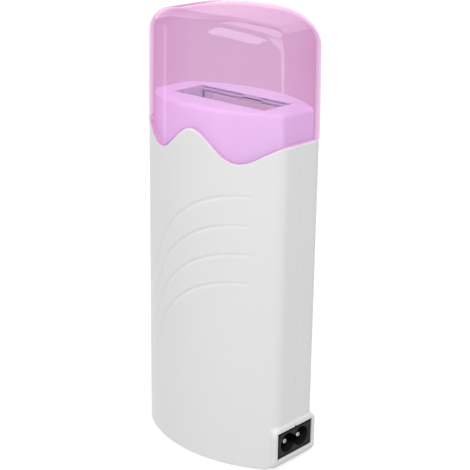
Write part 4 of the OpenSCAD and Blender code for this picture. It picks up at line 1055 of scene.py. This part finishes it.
def seen_straight(tree):
    """Output that is 1 for camera, mirror and glass rays, and 0 for light that falls on surfaces."""
    path = add_node(tree, "LightPath")
    seen = path.outputs["Is Camera Ray"]
    for ray in ("Is Glossy Ray", "Is Transmission Ray"):
        most = tree.nodes.new("ShaderNodeMath")
        most.operation = "MAXIMUM"
        link(seen, most.inputs[0])
        link(path.outputs[ray], most.inputs[1])
        seen = most.outputs[0]
    return seen


def floor_material():
    """Pale floor: camera, mirror and glass rays see an even white with the object's shadow on it."""
    material, tree, shader = new_material("floor_white")
    tree.nodes.remove(shader)
    bounce = add_node(tree, "BsdfDiffuse", Color=(FLOOR_BOUNCE, FLOOR_BOUNCE, FLOOR_BOUNCE, 1))
    seen = add_node(tree, "BsdfDiffuse", Color=(FLOOR_SEEN, FLOOR_SEEN, FLOOR_SEEN, 1))
    glow = add_node(tree, "Emission", Strength=FLOOR_GLOW)
    both = add_node(tree, "AddShader")
    link(seen.outputs[0], both.inputs[0])
    link(glow.outputs[0], both.inputs[1])
    surface_mix(tree, seen_straight(tree), bounce, both)
    return material


def add_floor():
    mesh = bpy.data.meshes.new("floor")
    square = [(x * FLOOR_HALF, y * FLOOR_HALF, 0) for x, y in ((-1, -1), (1, -1), (1, 1), (-1, 1))]
    mesh.from_pydata(square, [], [(0, 1, 2, 3)])
    mesh.materials.append(floor_material())
    obj = bpy.data.objects.new("floor", mesh)
    bpy.context.scene.collection.objects.link(obj)


def add_world():
    """White background that lights the object at a plain level."""
    world = bpy.data.worlds.new("world")
    bpy.context.scene.world = world
    world.use_nodes = True
    tree = world.node_tree
    back = tree.nodes["Background"]
    back.inputs["Color"].default_value = (1, 1, 1, 1)
    between(tree, seen_straight(tree), WORLD_LIGHT, 1.0, back.inputs["Strength"])


def area_lamp(name, size, power, place):
    """An area lamp that no ray sees straight or through glass."""
    data = bpy.data.lights.new(name, "AREA")
    data.shape = "RECTANGLE"
    data.size, data.size_y = size
    data.energy = power
    obj = bpy.data.objects.new(name, data)
    obj.matrix_world = place
    obj.visible_camera = obj.visible_transmission = False
    bpy.context.scene.collection.objects.link(obj)
    return obj


def softbox(name, at, size, power):
    """A lamp that lights the surfaces evenly and doesn't show as a reflection."""
    way = Vector(HEATER_MIDDLE) - Vector(at)
    place = Matrix.Translation(at) @ way.to_track_quat("-Z", "Y").to_matrix().to_4x4()
    area_lamp(name, size, power, place).visible_glossy = False


def panel(name, centre, u, v, level, receivers):
    """A bright panel with the edges u and v that shows only as a reflection in its receivers."""
    centre, u, v = Vector(centre), Vector(u), Vector(v)
    z = u.cross(v).normalized()
    if z.dot(LID_MIDDLE - centre) > 0:
        u, z = -u, -z
    place = Matrix.Translation(centre) @ Matrix((u.normalized(), v.normalized(), z)).transposed().to_4x4()
    area = u.length * v.length
    obj = area_lamp(name, (u.length, v.length), level * math.pi * area, place)
    obj.visible_diffuse = False
    obj.light_linking.receiver_collection = receivers


add_floor()
add_world()
softbox("key", (0.40, -0.44, 0.74), (0.4, 0.4), 3.82)
softbox("fill", (-1.0, -1.2, 0.9), (0.8, 1.2), 3.5)
lid_only = bpy.data.collections.new("lid_only")
lid_only.objects.link(lid_piece)
for panel_name, panel_values in PANELS.items():
    panel(panel_name, *panel_values, lid_only)

bpy.context.scene.view_settings.view_transform = "Standard"
